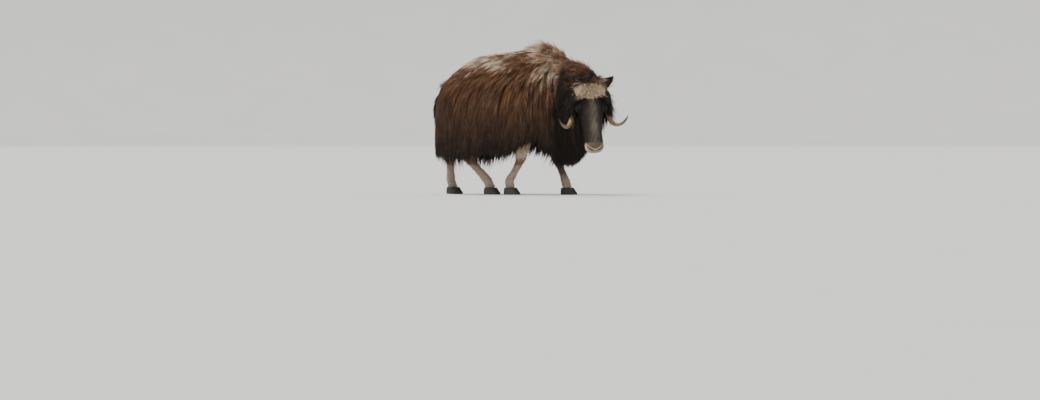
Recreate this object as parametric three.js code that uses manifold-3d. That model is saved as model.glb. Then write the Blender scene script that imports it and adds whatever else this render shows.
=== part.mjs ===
// A muskox cow at life size, mid-stride with its head turned to its right.
// Millimetres. X runs forward, Y to the animal's left and Z up, with the floor at Z 0.

import * as THREE from "three";
import { mergeVertices } from "three/addons/utils/BufferGeometryUtils.js";
import Module from "manifold-3d";

const wasm = await Module();
wasm.setup();
const V = (x, y, z) => new THREE.Vector3(x, y, z);

// Clearance between pieces that touch.
const GAP = 0.4;
// Vertices closer to a flat or straight run than this are dropped.
const TIDY = 0.06;

// The coat's outline, by height: how far it reaches behind, ahead and to each side of the middle.
const COAT_REAR = profile([
  [200, -590], [300, -625], [450, -630], [600, -628], [765, -612], [887, -560], [968, -480],
  [1049, -365], [1110, -245], [1135, -120], [1150, 20], [1165, 150], [1190, 205], [1219, 262], [1235, 330],
]);
const COAT_FRONT = profile([
  [200, 480], [300, 545], [450, 615], [600, 640], [750, 640], [900, 622], [1000, 612],
  [1089, 600], [1105, 585], [1170, 514], [1219, 440], [1235, 385],
]);
const COAT_HALF = profile([
  [200, 270], [300, 292], [450, 312], [600, 322], [750, 315], [850, 292], [950, 255],
  [1050, 205], [1110, 168], [1150, 132], [1190, 98], [1219, 62], [1235, 24],
]);
const COAT_SQUARENESS = 2.15;
const COAT_TOP = 1235;
const CREST_PEAK = 358;
// How far the skin lies inside the tips of the coat, by height.
const SKIN_DEPTH = profile([[200, 56], [500, 54], [800, 46], [1050, 34], [1235, 26]]);
// How low the skirt hangs, by distance along the body.
const SKIRT_BOTTOM = profile([
  [-600, 335], [-450, 262], [-320, 235], [-180, 275], [-60, 325], [60, 350], [170, 345],
  [270, 365], [400, 450], [520, 330], [620, 235],
]);
// The height at which the coat's width places the bottom of the skirt.
const SKIRT_LEVEL = 400;
const BELLY = 455;
// The belly's edge is rounded: it starts this much higher and further in than the flat underneath.
const BELLY_EDGE = { up: 5, inset: 40 };
// The coat's locks hang in tiers, each from a root height to the height of its tips, a number to each side.
// The lowest tier reaches the bottom of the skirt.
const COAT_TIERS = [
  { root: 590, reach: 0, count: 14, width: 124 },
  { root: 770, reach: 330, count: 13, width: 124 },
  { root: 920, reach: 300, count: 11, width: 122 },
  { root: 1040, reach: 240, count: 9, width: 114 },
  { root: 1122, reach: 160, count: 6, width: 104 },
];
// The locks along the crest of the back lie backwards, one behind another.
const CREST = { from: 470, to: -470, count: 12, reach: 165, width: 92, sunk: 46 };
const CREST_BESIDE = { root: 30, tip: 54, varies: 8 };
const COAT_FROM = 0.6;
const COAT_TO = 2.93;
const COAT_LEAN = 0.05;
const COAT_VARIES = { root: 22, tip: 24, lean: 0.03, width: 0.1 };
// Every second lock lies this much further out, so that neighbours overlap.
const COAT_LIFT = 9;
const LOCK_THICKNESS = 20;
const LOCK_SUNK = 22;
// The places along a lock that its curve passes through.
const LOCK_SHARES = [0, 0.33, 0.66, 1];

// The neck's middle line, with the coat's half width and its reach above and below that line.
const NECK = [
  { at: V(300, 0, 850), half: 120, up: 200, down: 260, skin: 230 },
  { at: V(430, 0, 850), half: 165, up: 262, down: 420, skin: 260 },
  { at: V(540, -6, 850), half: 170, up: 268, down: 650, skin: 270 },
  { at: V(640, -24, 850), half: 162, up: 250, down: 645, skin: 250 },
  { at: V(725, -54, 850), half: 150, up: 228, down: 600, skin: 230 },
  { at: V(790, -92, 845), half: 138, up: 205, down: 525, skin: 200 },
  { at: V(845, -136, 835), half: 118, up: 160, down: 400, skin: 160 },
];
const MANE_DEPTH = 34;
// The mane's locks, by the turn from the neck's crest at their roots and at their tips, in degrees.
const MANE_TIERS = [
  { root: 150, tip: 176, count: 4, width: 104 },
  { root: 112, tip: 163, count: 4, width: 116 },
  { root: 82, tip: 140, count: 4, width: 116 },
  { root: 52, tip: 108, count: 4, width: 110 },
  { root: 16, tip: 70, count: 4, width: 110 },
];
const MANE_FROM = 0.34;
const MANE_TO = 0.97;
const MANE_VARIES = { place: 0.12, root: 4, tip: 6, width: 0.1 };
const MANE_LIFT = 0.12;

// The head, in its own frame: x from the poll to the nose, y to its left, z out of the forehead.
const POLL = V(868, -152, 905);
const HEAD_YAW = -51;
const HEAD_PITCH = 65;
const HEAD_ROLL = 2.5;
const HEAD = [
  { x: -45, top: -40, bottom: -150, half: 70 },
  { x: -15, top: -8, bottom: -190, half: 104 },
  { x: 50, top: 8, bottom: -225, half: 118 },
  { x: 120, top: 6, bottom: -238, half: 121 },
  { x: 180, top: 2, bottom: -232, half: 118 },
  { x: 240, top: -5, bottom: -214, half: 103 },
  { x: 300, top: -13, bottom: -196, half: 89 },
  { x: 360, top: -22, bottom: -182, half: 78 },
  { x: 420, top: -31, bottom: -172, half: 72 },
  { x: 470, top: -37, bottom: -166, half: 72 },
  { x: 512, top: -45, bottom: -162, half: 75 },
  { x: 542, top: -60, bottom: -154, half: 68 },
  { x: 558, top: -78, bottom: -140, half: 50 },
];
// The wool on the forehead and behind the horns, as rounded clumps in the head's frame.
const CLUMPS = [
  { at: V(88, 0, 4), size: V(66, 26, 27) },
  { at: V(22, 0, 6), size: V(50, 46, 34) },
  { at: V(-14, 48, -12), size: V(44, 40, 38) },
  { at: V(-14, -48, -12), size: V(44, 40, 38) },
  { at: V(-44, 0, -8), size: V(42, 48, 42) },
];
const HEAD_LOW = profile(HEAD.map(({ x, bottom }) => [x, bottom]));
const HEAD_HALF = profile(HEAD.map(({ x, half }) => [x, half]));
const BEARD = { from: 150, to: 400, count: 4, ahead: 86, down: 96, sunk: 20, width: 74, thickness: 14 };
const EYE_AT = V(205, 112, -52);
const EYE_RADIUS = 21;
// The brow swells round the eye, and the lids are a ring on it.
const BROW = { at: EYE_AT.clone().add(V(-4, -24, 0)), size: V(46, 32, 36) };
const LID = { at: EYE_AT.clone().add(V(0, 11, 0)), long: 30, tall: 21, wrap: 5, thick: 8 };
// The mouth's groove runs from one corner round the muzzle to the other.
const MOUTH = { corner: V(425, 74, -128), ahead: 134, rise: 12, steps: 13 };
const MOUTH_GROOVE = { tall: [2.2, 3.7], deep: [5, 11] };
const NOSTRIL = { at: V(538, 37, -74), size: V(19, 9, 8), dip: 28, turn: -52 };
const HORN = [
  { at: V(70, 24, 6), wide: 34, thick: 12 },
  { at: V(68, 48, 10), wide: 46, thick: 18 },
  { at: V(71, 80, 4), wide: 50, thick: 21 },
  { at: V(82, 110, -22), wide: 44, thick: 23 },
  { at: V(106, 130, -64), wide: 35, thick: 24 },
  { at: V(150, 140, -110), wide: 28, thick: 22 },
  { at: V(208, 147, -140), wide: 23, thick: 20 },
  { at: V(264, 160, -147), wide: 20, thick: 18 },
  { at: V(312, 184, -130), wide: 17, thick: 15.5 },
  { at: V(340, 216, -92), wide: 14, thick: 13 },
  { at: V(341, 248, -50), wide: 11, thick: 10 },
  { at: V(326, 270, -14), wide: 7, thick: 7 },
];
const HORN_TIP = V(304, 284, 16);
const EAR_ROOT = V(34, 108, -44);
const EAR_TIP = V(-42, 196, -10);
const EAR_WIDTH = 62;
const EAR_OPENS = V(0.42, 0.35, 0.85);
const EAR_CUP = { wall: 7, ahead: 11, roundness: 0.62 };

// Each leg's middle line from inside the body to the top of the hoof, with half its depth and half its width.
const FORE_RIGHT = [
  [290, -146, 600, 78, 56], [285, -146, 530, 72, 54], [266, -146, 440, 58, 47], [242, -141, 340, 43, 40],
  [228, -139, 298, 43, 40], [208, -137, 255, 32, 31], [166, -136, 185, 28, 27], [122, -135, 115, 35, 34],
  [122, -135, 84, 33, 36], [130, -135, 57, 40, 44],
];
const FORE_LEFT = [
  [335, 146, 600, 78, 56], [345, 146, 530, 72, 54], [362, 146, 440, 58, 47], [384, 141, 345, 43, 40],
  [396, 139, 304, 43, 40], [420, 137, 255, 32, 31], [455, 136, 185, 28, 27], [484, 135, 115, 35, 34],
  [494, 135, 84, 33, 36], [505, 135, 57, 40, 44],
];
const HIND_RIGHT = [
  [-340, -130, 640, 105, 62], [-290, -136, 560, 98, 60], [-290, -138, 480, 76, 50], [-312, -136, 395, 50, 38],
  [-308, -131, 345, 45, 36], [-262, -128, 282, 35, 31], [-180, -126, 205, 31, 28], [-98, -125, 122, 36, 34],
  [-76, -125, 86, 34, 36], [-62, -125, 57, 40, 44],
];
const HIND_LEFT = [
  [-380, 120, 610, 84, 56], [-430, 122, 550, 78, 54], [-488, 122, 486, 66, 48], [-560, 116, 415, 50, 38],
  [-578, 110, 362, 45, 36], [-577, 108, 290, 34, 31], [-576, 107, 205, 31, 28], [-572, 106, 122, 36, 34],
  [-562, 106, 86, 34, 36], [-550, 106, 57, 40, 44],
];
const HOOF_TOP = 56.6;
const HOOF_LENGTH = 118;
const HOOF_WIDTH = 108;
const CLEFT = 7;
// A claw's rings from the sole up: height, share of its full size and how far it lies ahead.
const CLAW_FORM = [[0, 1, 16], [12, 1, 14], [34, 0.86, 6], [HOOF_TOP, 0.7, 0]];
const CLAW_TOE = 0.3;

const TAIL = [
  { at: V(-480, 0, 900), depth: 30, width: 34 },
  { at: V(-560, 0, 872), depth: 27, width: 32 },
  { at: V(-602, 0, 815), depth: 20, width: 24 },
];
const TAIL_END = V(-612, 0, 775);
const TAIL_LOCKS = { count: 6, spread: 46, from: 872, to: 600, varies: 24, width: 60, thick: 16, lift: 9 };

// A smooth curve through pairs of a place and a value, flat beyond its ends.
function profile(pairs) {
  const slopes = pairs.slice(1).map(([at, value], i) => (value - pairs[i][1]) / (at - pairs[i][0]));
  const tangents = pairs.map((_, i) => {
    const [before, after] = [slopes[i - 1] ?? slopes[i], slopes[i] ?? slopes[i - 1]];
    return before * after <= 0 ? 0 : (2 * before * after) / (before + after);
  });
  return (place) => {
    if (place <= pairs[0][0]) return pairs[0][1];
    const next = pairs.findIndex(([at]) => at > place);
    if (next < 0) return pairs.at(-1)[1];
    const [[a, from], [b, to]] = [pairs[next - 1], pairs[next]];
    const [span, t] = [b - a, (place - a) / (b - a)];
    const [t2, t3] = [t * t, t * t * t];
    return (
      (2 * t3 - 3 * t2 + 1) * from + (t3 - 2 * t2 + t) * span * tangents[next - 1] +
      (3 * t2 - 2 * t3) * to + (t3 - t2) * span * tangents[next]
    );
  };
}

// A closed solid through rings of points, with each end closed by a point of its own or by its ring's middle.
function loft(rings, startTip, endTip) {
  const count = rings[0].length;
  const middle = (ring) => ring.reduce((sum, p) => sum.add(p), V(0, 0, 0)).divideScalar(count);
  const points = [...rings.flat(), startTip ?? middle(rings[0]), endTip ?? middle(rings.at(-1))];
  const [start, end] = [points.length - 2, points.length - 1];
  const faces = [];
  for (let j = 0; j < count; j++) {
    const k = (j + 1) % count;
    faces.push([start, k, j], [end, (rings.length - 1) * count + j, (rings.length - 1) * count + k]);
    for (let i = 0; i + 1 < rings.length; i++) {
      const [a, b, c, d] = [i * count + j, i * count + k, (i + 1) * count + j, (i + 1) * count + k];
      // The diagonals of the two halves mirror each other, so that thin shapes split alike on both faces.
      if (j < count / 2) faces.push([a, b, d], [a, d, c]);
      else faces.push([a, b, c], [b, d, c]);
    }
  }
  const geometry = new THREE.BufferGeometry().setFromPoints(points).setIndex(faces.flat());
  return solid(geometry);
}

// The manifold-3d solid of a closed three.js geometry, turned to face outwards.
function solid(geometry) {
  const bare = geometry.clone();
  bare.deleteAttribute("normal");
  bare.deleteAttribute("uv");
  const merged = mergeVertices(bare, 1e-4);
  const make = (triVerts) =>
    new wasm.Manifold(
      new wasm.Mesh({ numProp: 3, vertProperties: merged.attributes.position.array, triVerts }),
    );
  const triangles = new Uint32Array(merged.index.array);
  const made = make(triangles);
  return made.volume() > 0 ? made : make(triangles.reverse());
}

const union = (pieces) => wasm.Manifold.union(pieces);
const largest = (m) => m.decompose().reduce((a, b) => (a.volume() > b.volume() ? a : b));

// A round, squared or flattened ring: wide along one direction and tall along another.
const squared = (value, squareness) => Math.sign(value) * Math.abs(value) ** (2 / squareness);
function ring(count, at, across, up, half, above, below = above, squareness = 2) {
  return Array.from({ length: count }, (_, i) => {
    const turn = (2 * Math.PI * i) / count;
    const [c, s] = [squared(Math.cos(turn), squareness), squared(Math.sin(turn), squareness)];
    return at.clone().addScaledVector(across, half * s).addScaledVector(up, c * (c > 0 ? above : below));
  });
}

// A tube of elliptical rings along a middle line. Its sections keep square to the line and to a sideways
// direction.
function limb(stations, side, count, grow = 0, endTip) {
  const points = stations.map((s) => s.at);
  return loft(
    stations.map(({ at, depth, width }, i) => {
      const along = points[Math.min(i + 1, points.length - 1)].clone().sub(points[Math.max(i - 1, 0)]);
      along.normalize();
      const ahead = side.clone().cross(along).normalize();
      const across = along.clone().cross(ahead).normalize();
      return ring(count, at, across, ahead, width + grow, depth + grow);
    }),
    beyond(points, 1 + grow),
    endTip,
  );
}

// The place some distance back from a line's first point.
function beyond(points, distance) {
  return points[0].clone().add(points[0].clone().sub(points[1]).setLength(distance));
}

// No point goes further inside the coat than this share of its half width.
const MOST_INSET = 0.45;

// A point on the coat's outline, at a turn from straight ahead and a height, moved inside it by some depth.
function coatPoint(turn, z, inset = 0, level = z) {
  const [rear, front, half] = [COAT_REAR(level), COAT_FRONT(level), COAT_HALF(level)];
  const inside = Math.min(inset, MOST_INSET * half);
  return V(
    (front + rear) / 2 + ((front - rear) / 2 - inside) * squared(Math.cos(turn), COAT_SQUARENESS),
    (half - inside) * squared(Math.sin(turn), COAT_SQUARENESS),
    z,
  );
}

// Repeatable chance, from 0 to 1.
function chance(seed) {
  let state = seed;
  return () => {
    state = (state + 0x6d2b79f5) | 0;
    let mixed = Math.imul(state ^ (state >>> 15), 1 | state);
    mixed = (mixed + Math.imul(mixed ^ (mixed >>> 7), 61 | mixed)) ^ mixed;
    return ((mixed ^ (mixed >>> 14)) >>> 0) / 4294967296;
  };
}

// A flat, tapered lock of hair along a line of points, from its sunk root to its tip.
const LOCK_FORM = [[0, 0.8, 1], [0.42, 1, 0.95], [0.78, 0.78, 0.7]];
function lock(line, outward, width, thickness, grow = 0) {
  const curve = new THREE.CatmullRomCurve3(line, false, "centripetal");
  const rings = LOCK_FORM.map(([share, wide, thick]) => {
    const [at, along] = [curve.getPoint(share), curve.getTangent(share)];
    const across = along.clone().cross(outward).normalize();
    const out = across.clone().cross(along);
    return ring(4, at, across, out, (width / 2) * wide + grow, (thickness / 2) * thick + grow);
  });
  return loft(rings, beyond(line, 1 + grow), line.at(-1).clone().addScaledVector(curve.getTangent(1), grow));
}

// The turns that space a number of places evenly along one side of the coat at a height.
function evenTurns(count, z) {
  const steps = Array.from({ length: 201 }, (_, i) => COAT_FROM + ((COAT_TO - COAT_FROM) * i) / 200);
  const points = steps.map((turn) => coatPoint(turn, z));
  const lengths = [0];
  for (let i = 1; i < points.length; i++) lengths.push(lengths[i - 1] + points[i].distanceTo(points[i - 1]));
  return Array.from({ length: count }, (_, i) => {
    const wanted = (lengths.at(-1) * (i + 0.5)) / count;
    return steps[lengths.findIndex((length) => length >= wanted)];
  });
}

// The coat's locks on both sides of the torso.
function coatLocks(grow) {
  const random = chance(11);
  const spread = (size) => size * (random() * 2 - 1);
  const locks = [];
  for (const { root, reach, count, width } of COAT_TIERS) {
    for (const side of [1, -1]) {
      evenTurns(count, root).forEach((turn, i) => {
        const low = SKIRT_BOTTOM(coatPoint(turn, SKIRT_LEVEL).x);
        const from = root + spread(COAT_VARIES.root);
        const to = Math.max(reach ? root - reach : low, low) + spread(COAT_VARIES.tip);
        const lean = COAT_LEAN + spread(COAT_VARIES.lean);
        const lift = i % 2 ? COAT_LIFT : 0;
        const at = (share, inset) => {
          const level = from + (to - from) * share;
          return coatPoint(side * (turn + lean * share), level, inset * (1 - share) ** 1.5 + lift);
        };
        const depth = SKIN_DEPTH(from) + LOCK_SUNK;
        const line = LOCK_SHARES.map((share) => at(share, depth));
        const ahead = at(0.5, 0).sub(at(0.4, 0));
        const halfway = (from + to) / 2;
        const around = coatPoint(side * (turn + 0.1), halfway).sub(coatPoint(side * turn, halfway));
        const outward = ahead.cross(around).multiplyScalar(side).normalize();
        locks.push(lock(line, outward, width * (1 + spread(COAT_VARIES.width)), LOCK_THICKNESS, grow));
      });
    }
  }
  return locks;
}

// How high the coat's crest is at a place along the body.
function crestHeight(x) {
  let [low, high] = [COAT_REAR(1000) > x ? 700 : 1000, COAT_TOP];
  const beside = (z) => (x < CREST_PEAK ? COAT_REAR(z) < x : COAT_FRONT(z) > x);
  for (let i = 0; i < 30; i++) {
    const z = (low + high) / 2;
    if (beside(z)) low = z;
    else high = z;
  }
  return low;
}

// The locks along the crest of the back.
function crestLocks(grow) {
  const random = chance(53);
  const spread = (size) => size * (random() * 2 - 1);
  return Array.from({ length: CREST.count }, (_, i) => {
    const x = CREST.from + ((CREST.to - CREST.from) * i) / (CREST.count - 1);
    const y = CREST_BESIDE.root * (i % 2 ? 1 : -1) + spread(CREST_BESIDE.varies);
    const apart = CREST_BESIDE.tip / CREST_BESIDE.root - 1;
    const line = LOCK_SHARES.map((share) => {
      const ahead = x - CREST.reach * share;
      return V(ahead, y * (1 + apart * share), crestHeight(ahead) - CREST.sunk * (1 - share) ** 1.6);
    });
    return lock(line, V(0, Math.sign(y) * 0.35, 1).normalize(), CREST.width, LOCK_THICKNESS, grow);
  });
}

// The torso's skin, and the torso with its locks.
const SKIN_SIDES = 24;
const SKIN_LEVELS = [500, 640, 780, 880, 960, 1030, 1080, 1115, 1145, 1170, 1200, 1226];
const SKIN_DROP = profile([[850, 0], [1050, 12], [1235, 24]]);
function torsoSkin(grow = 0) {
  const turns = Array.from({ length: SKIN_SIDES }, (_, i) => (2 * Math.PI * i) / SKIN_SIDES);
  const rings = SKIN_LEVELS.map((level) =>
    turns.map((turn) => coatPoint(turn, level - SKIN_DROP(level), SKIN_DEPTH(level) - grow, level)),
  );
  const belly = turns.map((turn) =>
    coatPoint(turn, BELLY + BELLY_EDGE.up, SKIN_DEPTH(BELLY) + BELLY_EDGE.inset - grow),
  );
  const peak = V(CREST_PEAK, 0, COAT_TOP - SKIN_DROP(COAT_TOP) + grow);
  return loft([belly, ...rings], V(0, 0, BELLY - grow), peak);
}

const torsoLocks = (grow = 0) => union([...coatLocks(grow), ...crestLocks(grow)]);
const torsoShape = (grow = 0) => union([torsoSkin(grow), torsoLocks(grow)]);

// A point on the neck, at a share of its length and a turn from its crest to one side. Full 1 is out at the
// tips of the mane and 0 is on the skin.
function neckPoint(share, turn, side, full, grow = 0) {
  const place = share * (NECK.length - 1);
  const low = Math.min(Math.floor(place), NECK.length - 2);
  const blend = (key) => NECK[low][key] + (NECK[low + 1][key] - NECK[low][key]) * (place - low);
  const at = NECK[low].at.clone().lerp(NECK[low + 1].at, place - low);
  const along = NECK[low + 1].at.clone().sub(NECK[low].at);
  const across = V(-along.y, along.x, 0).normalize();
  const [c, s] = [Math.cos(turn), Math.sin(turn)];
  const depth = MANE_DEPTH * (1 - full) - grow;
  const down = blend("skin") + (blend("down") - blend("skin")) * full + grow;
  const height = c > 0 ? blend("up") - depth : down;
  return at.addScaledVector(across, (blend("half") - depth) * s * side).add(V(0, 0, c * height));
}

const NECK_SIDES = 16;
function neckShape(grow = 0) {
  const shares = NECK.map((_, i) => i / (NECK.length - 1));
  const turns = Array.from({ length: NECK_SIDES }, (_, i) => (2 * Math.PI * i) / NECK_SIDES);
  const skin = loft(shares.map((share) => turns.map((turn) => neckPoint(share, turn, 1, 0, grow))));
  return union([skin, ...maneLocks(grow)]);
}

// The mane's locks, along both sides of the neck and hanging from the throat.
function maneLocks(grow) {
  const random = chance(23);
  const spread = (size) => size * (random() * 2 - 1);
  const locks = [];
  for (const { root, tip, count, width } of MANE_TIERS) {
    for (const side of [1, -1]) {
      for (let i = 0; i < count; i++) {
        const share = MANE_FROM + ((MANE_TO - MANE_FROM) * (i + 0.5 + spread(MANE_VARIES.place))) / count;
        const end = THREE.MathUtils.degToRad(Math.min(tip + spread(MANE_VARIES.tip), 178));
        const start = THREE.MathUtils.degToRad(root + spread(MANE_VARIES.root));
        const lift = (i % 2 ? MANE_LIFT : 0) + 0.04;
        const line = LOCK_SHARES.map((part) => {
          const turn = start + (end - start) * part;
          const full = -0.6 * (1 - part) ** 2 + (1 - lift) * part ** 0.8;
          return neckPoint(share - 0.04 * part, turn, side, full);
        });
        const middle = neckPoint(share, 0, side, 0).setZ(neckPoint(share, Math.PI / 2, side, 0).z);
        const outward = neckPoint(share, (start + end) / 2, side, 1).sub(middle).normalize();
        const wide = width * (1 + spread(MANE_VARIES.width));
        locks.push(lock(line, outward, wide, LOCK_THICKNESS, grow));
      }
    }
  }
  return locks;
}

// The head's frame in the animal.
const headFrame = new THREE.Matrix4()
  .makeTranslation(POLL)
  .multiply(new THREE.Matrix4().makeRotationZ(THREE.MathUtils.degToRad(HEAD_YAW)))
  .multiply(new THREE.Matrix4().makeRotationX(THREE.MathUtils.degToRad(HEAD_ROLL)))
  .multiply(new THREE.Matrix4().makeRotationY(THREE.MathUtils.degToRad(HEAD_PITCH)));
const mirrored = (point, side) => V(point.x, point.y * side, point.z);
const placed = (m) => m.transform(headFrame.elements);

function ball(at, radii, wide = 12, high = 7) {
  const sphere = new THREE.SphereGeometry(1, wide, high);
  return solid(sphere.scale(radii.x, radii.y, radii.z).translate(at.x, at.y, at.z));
}

// The skull with its short fur, in the head's frame.
const SKULL_SIDES = 14;
const SKULL_SQUARENESS = 2.5;
function skull(grow = 0) {
  const rings = HEAD.map(({ x, top, bottom, half }) => {
    const [middle, tall] = [(top + bottom) / 2, (top - bottom) / 2 + grow];
    const at = V(x, 0, middle);
    return ring(SKULL_SIDES, at, V(0, 1, 0), V(0, 0, 1), half + grow, tall, tall, SKULL_SQUARENESS);
  });
  const [poll, nose] = [HEAD[0], HEAD.at(-1)];
  const closing = (end, x) => V(x, 0, (end.top + end.bottom) / 2);
  return loft(rings, closing(poll, poll.x - 5 - grow), closing(nose, nose.x + 5 + grow));
}

const brow = (side, grow = 0) => ball(mirrored(BROW.at, side), BROW.size.clone().addScalar(grow));

function lids(side, grow = 0) {
  const steps = 12;
  const rings = Array.from({ length: steps }, (_, i) => {
    const turn = (2 * Math.PI * i) / steps;
    const [c, s] = [Math.cos(turn), Math.sin(turn)];
    const spot = mirrored(LID.at, side).add(V(LID.long * c, -side * LID.wrap * Math.abs(c), LID.tall * s));
    return ring(4, spot, V(c, 0, s), V(0, side, 0), LID.thick + grow, LID.thick + grow);
  });
  return loop(rings);
}

// A closed loop of rings, such as a lid round an eye.
function loop(rings) {
  const count = rings[0].length;
  const faces = rings.flatMap((_, i) =>
    Array.from({ length: count }, (_, j) => {
      const [n, k] = [(i + 1) % rings.length, (j + 1) % count];
      const [a, b, c, d] = [i * count + j, i * count + k, n * count + j, n * count + k];
      return [a, b, d, a, d, c];
    }).flat(),
  );
  return solid(new THREE.BufferGeometry().setFromPoints(rings.flat()).setIndex(faces));
}

// Short locks under both edges of the jaw, in the head's frame.
function beard(grow = 0) {
  const random = chance(71);
  const spread = (size) => size * (random() * 2 - 1);
  return [1, -1].flatMap((side) =>
    Array.from({ length: BEARD.count }, (_, i) => {
      const x = BEARD.from + ((BEARD.to - BEARD.from) * i) / (BEARD.count - 1);
      const [low, half] = [HEAD_LOW(x), HEAD_HALF(x)];
      const size = 1.15 - 0.4 * (i / (BEARD.count - 1)) + spread(0.08);
      const [ahead, down] = [size * BEARD.ahead, size * BEARD.down];
      const line = LOCK_SHARES.map((share) => {
        const z = low + BEARD.sunk * (1 - share) - down * share;
        return V(x - BEARD.sunk + ahead * share, side * (half * 0.55 + 6 * share), z);
      });
      return lock(line, V(0, side, -0.25).normalize(), BEARD.width, BEARD.thickness, grow);
    }),
  );
}

// The mouth's line round the muzzle, and the nostrils, as cuts in the head.
function mouthCuts() {
  const { corner, ahead, rise, steps } = MOUTH;
  const line = Array.from({ length: steps }, (_, i) => {
    const turn = Math.PI * (i / (steps - 1) - 0.5);
    const c = Math.cos(turn);
    return V(corner.x + ahead * c ** 0.75, corner.y * Math.sin(turn), corner.z + rise * c);
  });
  const groove = loft(
    line.map((at, i) => {
      // The groove is at its full size from the third ring on, and narrower at its two ends.
      const full = Math.min(i / 2, (steps - 1 - i) / 2, 1);
      const size = ([end, middle]) => end + (middle - end) * full;
      const along = line[Math.min(i + 1, steps - 1)].clone().sub(line[Math.max(i - 1, 0)]).normalize();
      const out = along.clone().cross(V(0, 0, 1)).normalize();
      return ring(6, at, out, V(0, 0, 1), size(MOUTH_GROOVE.deep), size(MOUTH_GROOVE.tall));
    }),
  );
  const nostril = (side) =>
    ball(V(0, 0, 0), NOSTRIL.size, 8, 5)
      .rotate([0, NOSTRIL.dip, side * NOSTRIL.turn])
      .translate(mirrored(NOSTRIL.at, side).toArray());
  return union([groove, nostril(1), nostril(-1)]);
}

const eye = (side, grow = 0) => {
  const radius = EYE_RADIUS + grow;
  return ball(mirrored(EYE_AT, side), V(radius, radius, radius), 12, 7);
};

// A horn, from the boss on the forehead down past the cheek and out to its upturned tip.
const HEAD_AXIS_Z = -100;
const HORN_STEPS = 18;
const HORN_SQUARENESS = 2.3;
function horn(side, grow = 0) {
  const stations = HORN.map((s) => ({ ...s, at: mirrored(s.at, side) }));
  const tip = mirrored(HORN_TIP, side);
  const line = [...stations.map((s) => s.at), tip];
  const curve = new THREE.CatmullRomCurve3(line, false, "centripetal");
  const rings = [];
  for (let i = 0; i < HORN_STEPS; i++) {
    const t = (i / HORN_STEPS) * (stations.length / (line.length - 1));
    const along = curve.getTangent(t);
    const at = curve.getPoint(t);
    const place = t * (line.length - 1);
    const [low, share] = [Math.min(Math.floor(place), stations.length - 1), place % 1];
    const high = Math.min(low + 1, stations.length - 1);
    const size = (key) => stations[low][key] * (1 - share) + stations[high][key] * share + grow;
    const outward = V(0, at.y, at.z - HEAD_AXIS_Z);
    const across = along.clone().cross(outward).normalize();
    const out = across.clone().cross(along).normalize();
    rings.push(ring(8, at, across, out, size("wide"), size("thick"), size("thick"), HORN_SQUARENESS));
  }
  return loft(rings, beyond(line, 1 + grow), tip.clone().addScaledVector(curve.getTangent(1), grow));
}

// An ear: a leaf hollowed from the front into a cup.
const EAR_FORM = [[0, 0.5], [0.2, 0.78], [0.42, 1], [0.64, 0.92], [0.84, 0.6], [0.95, 0.3]];
function ear(side, grow = 0) {
  const [root, tip] = [mirrored(EAR_ROOT, side), mirrored(EAR_TIP, side)];
  const along = tip.clone().sub(root);
  const across = along.clone().cross(mirrored(EAR_OPENS, side)).normalize();
  const open = across.clone().cross(along).normalize();
  const leaf = (form, inset, ahead, end) =>
    loft(
      form.map(([share, size]) => {
        const at = root.clone().addScaledVector(along, share).addScaledVector(open, ahead);
        const half = (EAR_WIDTH / 2) * size - inset;
        return ring(12, at, across, open, half, half * EAR_CUP.roundness);
      }),
      undefined,
      end,
    );
  const outside = leaf(EAR_FORM, -grow, 0, tip.clone().addScaledVector(along.clone().normalize(), grow));
  if (grow > 0) return outside;
  return outside.subtract(leaf(EAR_FORM.slice(1, -1), EAR_CUP.wall, EAR_CUP.ahead));
}

const LEG_SIDES = 12;
// A leg from inside the body to the top of its hoof, where it ends in a level face.
function leg(rows, grow = 0) {
  const stations = rows.map(([x, y, z, depth, width]) => ({ at: V(x, y, z), depth, width }));
  const shaft = limb(stations, V(0, 1, 0), LEG_SIDES, grow);
  return shaft.trimByPlane([0, 0, 1], HOOF_TOP + GAP - grow);
}

// One claw of a hoof, standing on its flat sole.
function claw(rows, inner) {
  const [x, y] = rows.at(-1);
  const width = (HOOF_WIDTH - CLEFT) / 4;
  const rings = CLAW_FORM.map(([z, share, ahead]) =>
    Array.from({ length: LEG_SIDES }, (_, i) => {
      const turn = (2 * Math.PI * i) / LEG_SIDES;
      const long = (HOOF_LENGTH / 2) * share * Math.cos(turn);
      const narrow = ((share + 1) / 2) * (1 - CLAW_TOE * Math.max(Math.cos(turn), 0) ** 2);
      const beside = CLEFT / 2 + width * (1 + narrow * squared(Math.sin(turn), 2.6) * inner);
      return V(x + ahead + long, y + inner * beside, z);
    }),
  );
  return loft(rings);
}

// The tail's stub and the tress of locks that hangs from it.
function tail(grow = 0) {
  const random = chance(37);
  const spread = (size) => size * (random() * 2 - 1);
  const stub = limb(TAIL, V(0, 1, 0), 8, grow, TAIL_END.clone().add(V(0, 0, -grow)));
  const locks = Array.from({ length: TAIL_LOCKS.count }, (_, i) => {
    const side = (2 * i) / (TAIL_LOCKS.count - 1) - 1;
    const from = TAIL_LOCKS.from - 60 * (1 - side ** 2) - 12 * (i % 2);
    const to = TAIL_LOCKS.to + 90 * side ** 2 + spread(TAIL_LOCKS.varies);
    const line = LOCK_SHARES.map((share) => {
      const z = from + (to - from) * share;
      const behind = 26 * share ** 0.6 - 40 * (1 - share) ** 3 - (i % 2 ? TAIL_LOCKS.lift : 0) - 8;
      return V(COAT_REAR(z) - behind, side * TAIL_LOCKS.spread * (0.12 + 0.88 * share ** 0.8), z);
    });
    return lock(line, V(-1, 0.4 * side, 0).normalize(), TAIL_LOCKS.width, TAIL_LOCKS.thick, grow);
  });
  return union([stub, ...locks]);
}

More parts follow.
